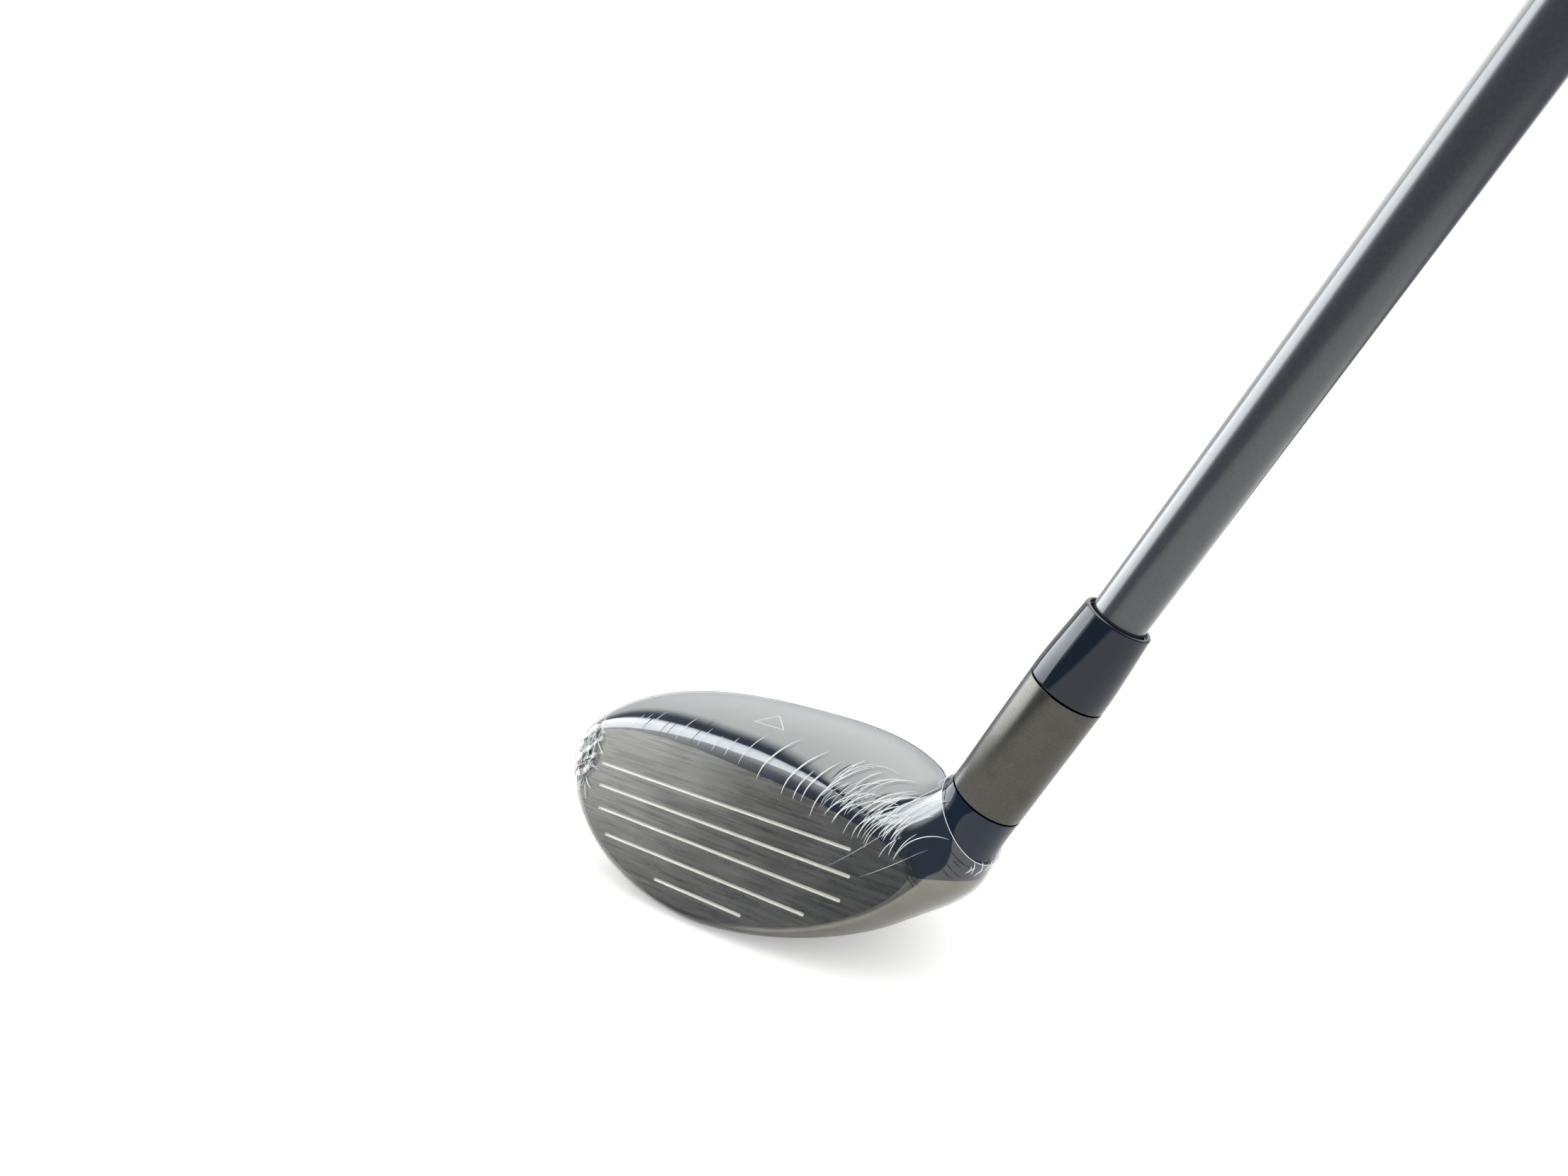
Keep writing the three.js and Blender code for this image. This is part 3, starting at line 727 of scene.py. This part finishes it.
tone = add(tree, "ShaderNodeMix", {0: in_groove, 6: tone, 7: colour("c4c2b8")}, data_type="RGBA")
steel = add(tree, "ShaderNodeBsdfPrincipled", {
    "Base Color": tone,
    "Metallic": add(tree, "ShaderNodeMapRange", {"Value": in_groove, "To Min": 1.0, "To Max": 0.3}),
    "Roughness": add(tree, "ShaderNodeMapRange", {"Value": strokes, "To Min": 0.24, "To Max": 0.32}),
    "Normal": add(tree, "ShaderNodeBump", {"Height": strokes, "Strength": 0.06, "Distance": 0.01 * MM})})
add(tree, "ShaderNodeOutputMaterial", {"Surface": steel})
face_plate.data.materials.clear()
face_plate.data.materials.append(face_steel)

# ---- sole badge --------------------------------------------------------------------------
# A thin plate of dark anodised aluminium let into the sole and glued there.

badge = copy_of(master, "badge")
cut(badge, as_object(head_form(BADGE_THICKNESS, 0.0, 96, 64), "badge_back"))
cut(badge, badge_prism(0.0), "INTERSECT")
finish_head(badge, "badge")
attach(badge, "root")
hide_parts("sole_badge")
anodised, tree = material("dark anodised aluminium")
place = add(tree, "ShaderNodeTexCoord").outputs["Object"]
drawn_out = add(tree, "ShaderNodeMapping", {"Vector": place, "Scale": (0.1, 1, 1)})
grain = add(tree, "ShaderNodeTexNoise", {"Vector": drawn_out, "Scale": 1 / (0.3 * MM)})
tone = add(tree, "ShaderNodeMix", {0: grain, 6: colour("1b1d21"), 7: colour("26292e")}, data_type="RGBA")
plate = add(tree, "ShaderNodeBsdfPrincipled", {
    "Base Color": tone, "Metallic": 1.0,
    "Roughness": add(tree, "ShaderNodeMapRange", {"Value": grain, "To Min": 0.3, "To Max": 0.42})})
add(tree, "ShaderNodeOutputMaterial", {"Surface": plate})
badge.data.materials.clear()
badge.data.materials.append(anodised)

# ---- weight ------------------------------------------------------------------------------
# A sintered tungsten slug glued low and far back inside the head.

tungsten, tree = material("sintered tungsten")
place = add(tree, "ShaderNodeTexCoord").outputs["Object"]
grit = add(tree, "ShaderNodeTexNoise", {"Vector": place, "Scale": 1 / (0.6 * MM), "Detail": 3.0})
tone = add(tree, "ShaderNodeMix", {0: grit, 6: colour("4c4f52"), 7: colour("66696c")}, data_type="RGBA")
slug = add(tree, "ShaderNodeBsdfPrincipled", {
    "Base Color": tone, "Metallic": 1.0, "Roughness": 0.6,
    "Normal": add(tree, "ShaderNodeBump", {"Height": grit, "Strength": 0.3, "Distance": 0.1 * MM})})
add(tree, "ShaderNodeOutputMaterial", {"Surface": slug})


def finish_cad(name, finish):
    """Gives a CAD node that stays as it is its own material."""
    mesh = frame["nodes"][name].data
    mesh.materials.clear()
    mesh.materials.append(finish)


finish_cad("tungsten_weight", tungsten)

# ---- hosel -------------------------------------------------------------------------------
# A turned stainless tube, its spigot glued down into the neck and its bare length showing above
# the lacquer, with a dark satin finish and the fine rings of the lathe.

TURN_STEPS = 160


def spun(profile, name, bevels=()):
    """A solid turned about the shaft axis from a closed profile of (radius, height) points.
    bevels gives (point number, size) for the corners that are rounded."""
    form = bmesh.new()
    verts = [form.verts.new((radius, 0, s)) for radius, s in profile]
    for i in range(len(verts)):
        form.edges.new((verts[i - 1], verts[i]))
    for number, size in bevels:
        bmesh.ops.bevel(form, geom=[verts[number]], offset=size, offset_type="OFFSET", segments=5,
                        profile=0.5, affect="VERTICES", material=-1)
    bmesh.ops.spin(form, geom=form.verts[:] + form.edges[:], cent=(0, 0, 0), axis=(0, 0, 1), dvec=(0, 0, 0),
                   angle=2 * math.pi, steps=TURN_STEPS, use_merge=True)
    bmesh.ops.remove_doubles(form, verts=form.verts, dist=1e-4)
    bmesh.ops.recalc_face_normals(form, faces=form.faces)
    bmesh.ops.transform(form, matrix=placed(RING, AXIS), verts=form.verts)
    return as_object(form, name)


def finish_turned(piece, name, finish, node, sharp=30):
    piece.name = piece.data.name = name
    piece.data.transform(Matrix.Scale(MM, 4))
    piece.data.shade_smooth()
    piece.data.set_sharp_from_angle(angle=math.radians(sharp))
    piece.data.materials.clear()
    piece.data.materials.append(finish)
    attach(piece, "root")
    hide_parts(node)
    return piece


def along_axis(tree):
    """Object coordinates along the shaft axis only, for the rings that a lathe leaves."""
    place = add(tree, "ShaderNodeTexCoord").outputs["Object"]
    along = add(tree, "ShaderNodeVectorMath", {0: place, 1: AXIS}, operation="DOT_PRODUCT")
    return add(tree, "ShaderNodeCombineXYZ", {"X": along})


sleeve_low, sleeve_high = along_from(RING, "hosel_sleeve")
SLEEVE_BORE, SPIGOT_RADIUS = 5.0, 5.8
sleeve_form = spun([
    (SLEEVE_BORE, sleeve_low), (SPIGOT_RADIUS, sleeve_low), (SPIGOT_RADIUS, RING_GAP),
    (HOSEL_RADIUS, RING_GAP), (HOSEL_RADIUS, sleeve_high), (SLEEVE_BORE, sleeve_high),
], "hosel", ((3, 0.18), (4, 0.1)))
turned_steel, tree = material("turned stainless, dark satin")
place = add(tree, "ShaderNodeTexCoord").outputs["Object"]
rings = add(tree, "ShaderNodeTexNoise", {
    "Vector": along_axis(tree), "Scale": 1 / (0.22 * MM), "Detail": 3.0})
smudge = add(tree, "ShaderNodeTexNoise", {"Vector": place, "Scale": 1 / (7 * MM)})
grit = add(tree, "ShaderNodeTexNoise", {"Vector": place, "Scale": 1 / (0.35 * MM)})
turned = add(tree, "ShaderNodeMapRange", {"Value": rings, "From Min": 0.3, "From Max": 0.7})
darker = add(tree, "ShaderNodeMapRange", {
    "Value": smudge, "From Min": 0.5, "From Max": 0.68, "To Max": 0.5})
specks = add(tree, "ShaderNodeMapRange", {"Value": grit, "From Min": 0.45, "From Max": 0.7, "To Max": 0.25})
tone = add(tree, "ShaderNodeMix", {0: turned, 6: colour("52504b"), 7: colour("5c5a54")}, data_type="RGBA")
tone = add(tree, "ShaderNodeMix", {0: darker, 6: tone, 7: colour("474541")}, data_type="RGBA")
tone = add(tree, "ShaderNodeMix", {0: specks, 6: tone, 7: colour("6c6a63")}, data_type="RGBA")
bare = add(tree, "ShaderNodeBsdfPrincipled", {
    "Base Color": tone, "Metallic": 1.0,
    "Roughness": add(tree, "ShaderNodeMapRange", {"Value": smudge, "To Min": 0.22, "To Max": 0.32}),
    "Normal": add(tree, "ShaderNodeBump", {"Height": rings, "Strength": 0.1, "Distance": 0.02 * MM})})
add(tree, "ShaderNodeOutputMaterial", {"Surface": bare})
finish_turned(sleeve_form, "hosel", turned_steel, "hosel_sleeve")

# ---- hosel plug and tip weight -----------------------------------------------------------
# A pressed cork disc stops the glue at the foot of the bore, and a turned brass pin glued into
# the shaft tip sets the swing weight.

cork, tree = material("pressed cork")
place = add(tree, "ShaderNodeTexCoord").outputs["Object"]
grains = add(tree, "ShaderNodeTexVoronoi", {"Vector": place, "Scale": 1 / (1.2 * MM)})
tone = add(tree, "ShaderNodeMix", {0: grains, 6: colour("a5754a"), 7: colour("c79a6a")}, data_type="RGBA")
disc = add(tree, "ShaderNodeBsdfPrincipled", {"Base Color": tone, "Roughness": 0.85})
add(tree, "ShaderNodeOutputMaterial", {"Surface": disc})
finish_cad("hosel_plug", cork)
brass, tree = material("turned brass")
rings = add(tree, "ShaderNodeTexNoise", {"Vector": along_axis(tree), "Scale": 1 / (0.3 * MM)})
pin = add(tree, "ShaderNodeBsdfPrincipled", {
    "Base Color": colour("c9a55a"), "Metallic": 1.0,
    "Roughness": add(tree, "ShaderNodeMapRange", {"Value": rings, "To Min": 0.25, "To Max": 0.4})})
add(tree, "ShaderNodeOutputMaterial", {"Surface": pin})
finish_cad("tip_weight", brass)

# ---- ferrule -----------------------------------------------------------------------------
# A ring of black cellulose acetate pressed over the shaft, turned flush with the hosel and
# polished with solvent, with a rounded lip and a shallow step inside it at the top.

ferrule_low, ferrule_high = along_from(RING, "ferrule")
FERRULE_BORE, FERRULE_TOP = 4.95, 5.87
STRAIGHT_FOOT = 2.85
STEP_DOWN = 0.6
ferrule_form = spun([
    (FERRULE_BORE, ferrule_low), (HOSEL_RADIUS, ferrule_low), (HOSEL_RADIUS, ferrule_low + STRAIGHT_FOOT),
    (FERRULE_TOP, ferrule_high), (5.3, ferrule_high), (5.1, ferrule_high - STEP_DOWN),
    (FERRULE_BORE, ferrule_high - STEP_DOWN),
], "ferrule", ((4, 0.16), (3, 0.42), (2, 2.5), (1, 0.12)))
acetate, tree = material("solvent-polished black cellulose acetate")
place = add(tree, "ShaderNodeTexCoord").outputs["Object"]
wave = add(tree, "ShaderNodeTexNoise", {"Vector": place, "Scale": 1 / (1.6 * MM)})
tone = add(tree, "ShaderNodeMix", {0: wave, 6: colour("030f1c"), 7: colour("061524")}, data_type="RGBA")
ring_shader = add(tree, "ShaderNodeBsdfPrincipled", {
    "Base Color": tone, "Roughness": 0.06, "IOR": 1.5,
    "Normal": add(tree, "ShaderNodeBump", {"Height": wave, "Strength": 0.1, "Distance": 0.03 * MM})})
add(tree, "ShaderNodeOutputMaterial", {"Surface": ring_shader})
finish_turned(ferrule_form, "ferrule_ring", acetate, "ferrule")

# ---- shaft -------------------------------------------------------------------------------
# A tapered tube wound of carbon fibre and sprayed with charcoal lacquer. Its tip is glued into
# the hosel, and it swells evenly from above the ferrule to the butt.

shaft_low, shaft_high = along_from(RING, "shaft")
TIP_RADIUS, PARALLEL_END, TAPER = 4.7, 75, 0.0033
TIP_BORE, BUTT_BORE = 2.5, 6.7


def shaft_radius(s):
    return TIP_RADIUS + max(0, s - PARALLEL_END) * TAPER


profile = [(TIP_BORE, shaft_low), (TIP_RADIUS, shaft_low), (TIP_RADIUS, PARALLEL_END)]
profile += [(shaft_radius(s), s) for s in range(150, 900, 75)]
profile += [(shaft_radius(shaft_high), shaft_high), (BUTT_BORE, shaft_high)]
shaft_form = spun(profile, "shaft")
charcoal, tree = material("charcoal lacquer over wound carbon fibre")
place = add(tree, "ShaderNodeTexCoord").outputs["Object"]
flake = add(tree, "ShaderNodeTexNoise", {"Vector": place, "Scale": 1 / (0.5 * MM)})
ripple = add(tree, "ShaderNodeTexNoise", {"Vector": place, "Scale": 1 / (3 * MM)})
glint = add(tree, "ShaderNodeMapRange", {"Value": flake, "From Min": 0.35, "From Max": 0.65})
tone = add(tree, "ShaderNodeMix", {0: glint, 6: colour("222429"), 7: colour("282b31")}, data_type="RGBA")
tube = add(tree, "ShaderNodeBsdfPrincipled", {
    "Base Color": tone, "Roughness": 0.3, "IOR": 1.6, "Coat Weight": 1.0, "Coat Roughness": 0.14,
    "Coat IOR": 1.5,
    "Normal": add(tree, "ShaderNodeBump", {"Height": ripple, "Strength": 0.08, "Distance": 0.05 * MM})})
add(tree, "ShaderNodeOutputMaterial", {"Surface": tube})
finish_turned(shaft_form, "shaft_tube", charcoal, "shaft")

# ---- grip tape ---------------------------------------------------------------------------
# Double-sided paper tape round the butt of the shaft holds the grip.

tape, tree = material("double-sided paper tape")
place = add(tree, "ShaderNodeTexCoord").outputs["Object"]
fibre = add(tree, "ShaderNodeTexNoise", {"Vector": place, "Scale": 1 / (0.8 * MM), "Detail": 3.0})
tone = add(tree, "ShaderNodeMix", {0: fibre, 6: colour("b5a67a"), 7: colour("c6ba93")}, data_type="RGBA")
paper = add(tree, "ShaderNodeBsdfPrincipled", {"Base Color": tone, "Roughness": 0.9})
add(tree, "ShaderNodeOutputMaterial", {"Surface": paper})
finish_cad("grip_tape", tape)

# ---- grip and cap ------------------------------------------------------------------------
# A moulded rubber sleeve that thickens to the butt, with bands of small pressed diamonds, and
# the moulded cap that closes it, with a vent hole in its end.

grip_low, grip_high = along_from(RING, "grip_sleeve")
grip_length = grip_high - grip_low
MOUTH_RADIUS, BUTT_RADIUS = 8.7, 13.0
MOUTH_ROLL, MOUTH_ROLL_LENGTH = 0.4, 1.5
GRIP_WALL = 0.95
rubber, tree = material("moulded black rubber")
place = add(tree, "ShaderNodeTexCoord").outputs["Object"]
grain = add(tree, "ShaderNodeTexNoise", {"Vector": place, "Scale": 1 / (0.7 * MM), "Detail": 3.0})
dust = add(tree, "ShaderNodeTexNoise", {"Vector": place, "Scale": 1 / (20 * MM)})
tone = add(tree, "ShaderNodeMix", {0: dust, 6: colour("151617"), 7: colour("1d1e20")}, data_type="RGBA")
moulded = add(tree, "ShaderNodeBsdfPrincipled", {
    "Base Color": tone,
    "Roughness": add(tree, "ShaderNodeMapRange", {"Value": grain, "To Min": 0.62, "To Max": 0.8}),
    "Normal": add(tree, "ShaderNodeBump", {"Height": grain, "Strength": 0.3, "Distance": 0.08 * MM})})
add(tree, "ShaderNodeOutputMaterial", {"Surface": moulded})


def grip_radius(s):
    """Outer radius of the grip before its pattern: a rolled mouth, then a straight taper."""
    share = (s - grip_low) / grip_length
    rolled = MOUTH_ROLL * max(0, 1 - (s - grip_low) / MOUTH_ROLL_LENGTH) ** 2
    return MOUTH_RADIUS + (BUTT_RADIUS - MOUTH_RADIUS) * share - rolled


ROWS = 330
heights = [grip_low + grip_length * i / ROWS for i in range(ROWS + 1)]
profile = [(shaft_radius(grip_low) + GRIP_WALL, grip_low)]
profile += [(grip_radius(s), s) for s in heights]
profile += [(shaft_radius(grip_high) + GRIP_WALL, grip_high)]
grip_form = spun(profile, "grip")
# Grooves cross into diamonds in PATTERN_BANDS bands, each edged by a ring with a plain gap
# between, from PATTERN_FROM to PATTERN_TO of the grip's length.
PATTERN_DEPTH = 0.35
PATTERN_FROM, PATTERN_TO = 0.05, 0.94
PATTERN_BANDS = 5
DIAMOND_HEIGHT = 5.2
DIAMONDS_ROUND = 12
GROOVE_WIDTH = 0.12
to_upright = AXIS.rotation_difference(UP).to_matrix()
for vert in grip_form.data.vertices:
    spot = to_upright @ (vert.co - RING)
    radius = math.hypot(spot.x, spot.y)
    share = (spot.z - grip_low) / grip_length
    if radius < grip_radius(spot.z) - 0.3 or not PATTERN_FROM < share < PATTERN_TO:
        continue
    turn = math.atan2(spot.y, spot.x) / (2 * math.pi) * DIAMONDS_ROUND
    rise = spot.z / DIAMOND_HEIGHT
    lines = min(abs((turn + rise) % 1 - 0.5), abs((turn - rise) % 1 - 0.5))
    band = abs((share * PATTERN_BANDS) % 1 - 0.5)
    depth = PATTERN_DEPTH * max(0.0, 1 - lines / GROOVE_WIDTH) if band > 0.07 else 0.0
    if 0.055 < band < 0.075:
        depth = PATTERN_DEPTH
    inward = (vert.co - on_axis(spot.z)).normalized()
    vert.co -= inward * depth
finish_turned(grip_form, "grip", rubber, "grip_sleeve", 60)

cap_low, cap_high = along_from(RING, "grip_cap")
cap_form = spun([
    (1.25, cap_low), (13.0, cap_low), (13.1, cap_high - 2.6), (12.6, cap_high - 1.0),
    (10.7, cap_high - 0.06), (8.2, cap_high), (8.0, cap_high - 0.35), (7.2, cap_high - 0.35),
    (7.0, cap_high), (1.25, cap_high),
], "cap", ((9, 0.3), (8, 0.1), (7, 0.1), (6, 0.1), (5, 0.1), (4, 0.6), (3, 0.8), (2, 0.6), (1, 0.3)))
finish_turned(cap_form, "grip_end", rubber, "grip_cap", 40)

# ---- film --------------------------------------------------------------------------------
# The clear shrink film that the new head is sold in: it bridges the hollow between crown and
# neck, ends round the neck in a slanting cut, and gathers in creases where it had slack. The
# creases are real, and the thin tubes that draw them are painted white as highlights or dark as shade.

FILM_EDGE_ROUND = 1.2
FILM_OUT, FILM_WALL = 0.35, 0.12
FILM_FOOT = 0.1
film = settle(unfaired, FILLET, FILM_EDGE_ROUND, FILM_OUT)
BUNCH = Vector((-41.8, LEADING_EDGE_Y + math.tan(LOFT) * 23.5, 23.5))
BUNCH_SIZE = Vector((4.4, 4.8, 8.0))
BUNCH_DEPTH = 0.8


def in_bunch(point):
    """1 in the middle of the gathered film at the toe, falling to 0 at its edge."""
    away = Vector((a / b for a, b in zip(point - BUNCH, BUNCH_SIZE)))
    return max(0.0, 1 - away.length_squared)


for vert in film.data.vertices:
    share = in_bunch(vert.co)
    if share > 0:
        out = skin_at(vert.co, FILLET, FILM_EDGE_ROUND)[1]
        crumple = noise.noise(vert.co * 0.62) + 0.6 * noise.noise(vert.co * 1.3)
        vert.co += out * (BUNCH_DEPTH * min(1.0, share * 3) * (0.25 + crumple * 0.6))


def crease(start, heading, length, bend, step=0.4):
    """Points of a crease that runs over the film from start, turning by bend degrees per mm."""
    points = []
    spot, way = start.copy(), heading.copy()
    for _ in range(int(length / step) + 1):
        distance, out = skin_at(spot, FILLET, FILM_EDGE_ROUND)
        spot -= out * (distance - FILM_OUT)
        points.append(spot.copy())
        way = (way - out * way.dot(out)).normalized()
        way.rotate(Quaternion(out, math.radians(-bend * step)))
        spot += way * step
    return points


FACE_UP = Vector((0, math.sin(LOFT), math.cos(LOFT)))
HEELWARD = Vector((1, 0, 0))
FRONT = Vector((0, -1, 0))
HEEL_SIDE = FRONT.cross(AXIS) * -1
# Creases are tubes in one of two colours: white, a painted highlight where a fold catches the light, or
# dark navy, painted shade where a fold shades the film.
HIGHLIT_CREASE, SHADED_CREASE = 0, 1
draw = random.Random(7)
creases = []


def from_topline(around, below, lean, length, bend, thick, look=HIGHLIT_CREASE):
    """A crease that starts below the face's top edge and runs up over it."""
    start = head_point(around, 0) - FACE_UP * below + FACE_NORMAL * FILM_OUT
    creases.append((crease(start, FACE_UP + HEELWARD * lean, length, bend), thick, look))


def on_neck(s, turn, up, round_neck, length, bend, thick, look=HIGHLIT_CREASE):
    """A crease on the neck, s mm above the ring and turn degrees heelward of the front."""
    turn = math.radians(turn)
    out = FRONT * math.cos(turn) + HEEL_SIDE * math.sin(turn)
    sideways = HEEL_SIDE * math.cos(turn) - FRONT * math.sin(turn)
    way = AXIS * up + sideways * round_neck
    creases.append((crease(on_axis(s) + out * 7.2, way, length, bend), thick, look))


# Along the top of the face: a few fine ones over the toe half, then longer and stronger.
for around, below, length, thick, look in (
        (0.330, 0, 4, 0.07, HIGHLIT_CREASE), (0.318, 0, 5, 0.06, HIGHLIT_CREASE), (0.310, 0, 5, 0.08, SHADED_CREASE),
        (0.303, 0, 6, 0.07, HIGHLIT_CREASE), (0.283, 0.4, 6, 0.08, SHADED_CREASE), (0.274, 0.3, 5, 0.08, SHADED_CREASE),
        (0.262, 0.4, 7, 0.08, HIGHLIT_CREASE), (0.250, 0.5, 8, 0.08, SHADED_CREASE), (0.238, 0.2, 5, 0.07, HIGHLIT_CREASE),
        (0.222, 0.2, 4, 0.07, HIGHLIT_CREASE), (0.210, 0.2, 5, 0.08, HIGHLIT_CREASE), (0.197, 0.6, 9, 0.09, HIGHLIT_CREASE),
        (0.180, 1.8, 12, 0.17, HIGHLIT_CREASE), (0.160, 2.4, 13, 0.18, HIGHLIT_CREASE), (0.151, 2.2, 7, 0.15, HIGHLIT_CREASE),
        (0.145, 1.8, 11, 0.17, HIGHLIT_CREASE), (0.136, 3.6, 16, 0.17, HIGHLIT_CREASE)):
    from_topline(around, below, 0.0, length, 3.4, thick, look)
# At the heel end of the topline: a dense fan that leans over towards the neck.
FAN = 84
for i in range(FAN):
    around = 0.135 - 0.075 * i / (FAN - 1)
    lower = draw.uniform(-1.5, 3.2) if i % 3 else draw.uniform(-7, -2)
    from_topline(around + draw.uniform(-0.003, 0.003), lower, draw.uniform(0.0, 0.3),
                 draw.uniform(4, 12) if i % 7 else 5, draw.uniform(4.5, 9), draw.uniform(0.05, 0.14),
                 HIGHLIT_CREASE if i % 7 else SHADED_CREASE)
# Two stretched lines from the neck over the face, painted white as highlights.
for x, z, rise, length in ((25.0, 17.3, 0.75, 27), (34.0, 18.8, 0.62, 14)):
    start = Vector((x, LEADING_EDGE_Y + math.tan(LOFT) * z, z)) + FACE_NORMAL * FILM_OUT
    creases.append((crease(start, HEELWARD + FACE_UP * rise, length, -0.6), 0.035, HIGHLIT_CREASE))
# On the front of the neck: dark crescents of painted shade, and small pale curls low on its heel side,
# painted white as highlights.
for s, turn, length, bend, thick in (
        (-8.2, 14, 6, -5, 0.10), (-9.6, 24, 2.5, -6, 0.08), (-10.8, 16, 3, -5, 0.08),
        (-12.4, 18, 3, -8, 0.09),
        (-11.4, 30, 2, -8, 0.07), (-15.0, -16, 6, -3, 0.11), (-15.8, -12, 6, -3, 0.12),
        (-16.6, -6, 5, -3, 0.10), (-14.2, -20, 5, -3, 0.10)):
    on_neck(s, turn, -0.45, 1.0, length, bend, thick, SHADED_CREASE)
for s, turn, length, bend in (
        (-10.8, 48, 2.2, 24), (-10.6, 56, 2.6, -20), (-10.9, 63, 2.0, 26), (-10.2, 70, 2.8, -22),
        (-9.8, 78, 2.4, 24), (-9.3, 86, 2.2, -26), (-10.4, 52, 1.5, -30)):
    on_neck(s, turn, 1.0, 0.3, length, bend, 0.09)
# Gathered film at the toe, with a curved fold on its heel side.
for i in range(56):
    spot = BUNCH + HEELWARD * draw.uniform(-2.4, 2.4) + FACE_UP * draw.uniform(-6.5, 6.5)
    way = Vector((draw.uniform(-0.7, 0.7), draw.uniform(-0.4, 0.4), draw.choice((-1, 1))))
    creases.append((crease(spot, way, draw.uniform(1.5, 5), draw.uniform(-25, 25)),
                    draw.uniform(0.05, 0.11), HIGHLIT_CREASE if i % 6 else SHADED_CREASE))
fold_start = BUNCH - HEELWARD * 0.2 + FACE_UP * 5.6
creases.append((crease(fold_start, HEELWARD * 0.75 - FACE_UP, 12, 5.5), 0.13, HIGHLIT_CREASE))

# The cut edge round the neck: a plane that slants down to the heel meets the film's skin.
FILM_CUT = -5.2
FILM_TILT = math.radians(23.5)
AXIS_LEAN = math.asin(AXIS.x)
slant = Vector((math.sin(AXIS_LEAN + FILM_TILT), 0, math.cos(AXIS_LEAN + FILM_TILT)))
edge_line = []
for i in range(121):
    turn = 2 * math.pi * i / 120
    out = FRONT * math.cos(turn) + HEEL_SIDE * math.sin(turn)
    reach = HOSEL_RADIUS + FILM_OUT
    for _ in range(6):
        s = FILM_CUT - reach * out.dot(slant) / AXIS.dot(slant)
        reach -= skin_at(on_axis(s) + out * reach, FILLET, FILM_EDGE_ROUND)[0] - FILM_OUT
    edge_line.append(on_axis(s) + out * reach)
# A thin white tube along this cut edge is a painted highlight of it.
creases.append((edge_line, 0.07, HIGHLIT_CREASE))

curve_data = bpy.data.curves.new("creases", "CURVE")
curve_data.dimensions = "3D"
curve_data.bevel_depth = 1.0
curve_data.bevel_resolution = 1
curve_data.use_fill_caps = True
# The two crease finishes are painted light: white for a highlight, dark navy for shade.
crease_highlight, crease_highlight_tree = material("crease in clear film, painted white as its highlight")
crease_shade, crease_shade_tree = material("crease in clear film, painted dark as its shade")
curve_data.materials.append(crease_highlight)
curve_data.materials.append(crease_shade)
for points, thick, look in creases:
    spline = curve_data.splines.new("POLY")
    spline.points.add(len(points) - 1)
    spline.material_index = look
    for i, (spot, target) in enumerate(zip(points, spline.points)):
        target.co = (*spot, 1)
        tapered = max(0.05, math.sin(math.pi * (i + 0.5) / len(points))) ** 0.7
        target.radius = thick * (1.0 if points is edge_line else tapered)
curve_piece = bpy.data.objects.new("creases", curve_data)
scene.collection.objects.link(curve_piece)
depsgraph = bpy.context.evaluated_depsgraph_get()
crease_mesh = bpy.data.meshes.new_from_object(curve_piece.evaluated_get(depsgraph))
bpy.data.objects.remove(curve_piece)

film_form = bmesh.new()
film_form.from_mesh(film.data)
film_form.normal_update()
inner = bmesh.ops.duplicate(film_form, geom=film_form.faces[:])
inner_faces = [item for item in inner["geom"] if isinstance(item, bmesh.types.BMFace)]
inner_verts = [item for item in inner["geom"] if isinstance(item, bmesh.types.BMVert)]
for vert in inner_verts:
    vert.co -= vert.normal * FILM_WALL
bmesh.ops.reverse_faces(film_form, faces=inner_faces)
film_form.to_mesh(film.data)
film_form.free()
cut(film, half_space(on_axis(FILM_CUT), slant, side=15))
cut(film, half_space(Vector((0, 0, FILM_FOOT)), -UP))
finish_head(film, "film", FILM_EDGE_ROUND, ((FILM_OUT, 1), (FILM_OUT - FILM_WALL, -1)))
crease_mesh.transform(Matrix.Scale(MM, 4))
crease_mesh.shade_smooth()
crease_piece = bpy.data.objects.new("film_creases_painted_light_and_shade", crease_mesh)
scene.collection.objects.link(crease_piece)
for piece in (film, crease_piece):
    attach(piece, "root")
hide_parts("head_film")

clear, tree = material("clear shrink film")
mirror = add(tree, "ShaderNodeBsdfGlossy", {"Color": (1, 1, 1, 1), "Roughness": 0.0})
through = add(tree, "ShaderNodeBsdfTransparent")
# Both of its faces mirror, and the outer one carries the mirror of both.
one_face = add(tree, "ShaderNodeFresnel", {"IOR": 1.5})
two_faces = add(tree, "ShaderNodeMath", {0: one_face, 1: 1.5}, operation="MULTIPLY", use_clamp=True)
inside = add(tree, "ShaderNodeNewGeometry").outputs["Backfacing"]
share = add(tree, "ShaderNodeMath", {0: two_faces, 1: inside}, operation="SUBTRACT", use_clamp=True)
film_shader = add(tree, "ShaderNodeMixShader", {0: share, 1: through, 2: mirror})
add(tree, "ShaderNodeOutputMaterial", {"Surface": film_shader})
film.data.materials.clear()
film.data.materials.append(clear)
# Each crease finish is laid over the film partly see-through: white as a painted highlight, dark as painted
# shade.
for tree, code, strength in ((crease_highlight_tree, "e4e8ea", 0.88), (crease_shade_tree, "10161f", 0.8)):
    through = add(tree, "ShaderNodeBsdfTransparent")
    crease_painted_light = add(tree, "ShaderNodeBsdfPrincipled", {
        "Base Color": colour(code), "Roughness": 0.2, "IOR": 1.5})
    crease_shader = add(tree, "ShaderNodeMixShader", {0: strength, 1: through, 2: crease_painted_light})
    add(tree, "ShaderNodeOutputMaterial", {"Surface": crease_shader})

# ---- clearing up -------------------------------------------------------------------------
# The shape that head body, crown and badge were cut from is thrown away.

bpy.data.objects.remove(master)
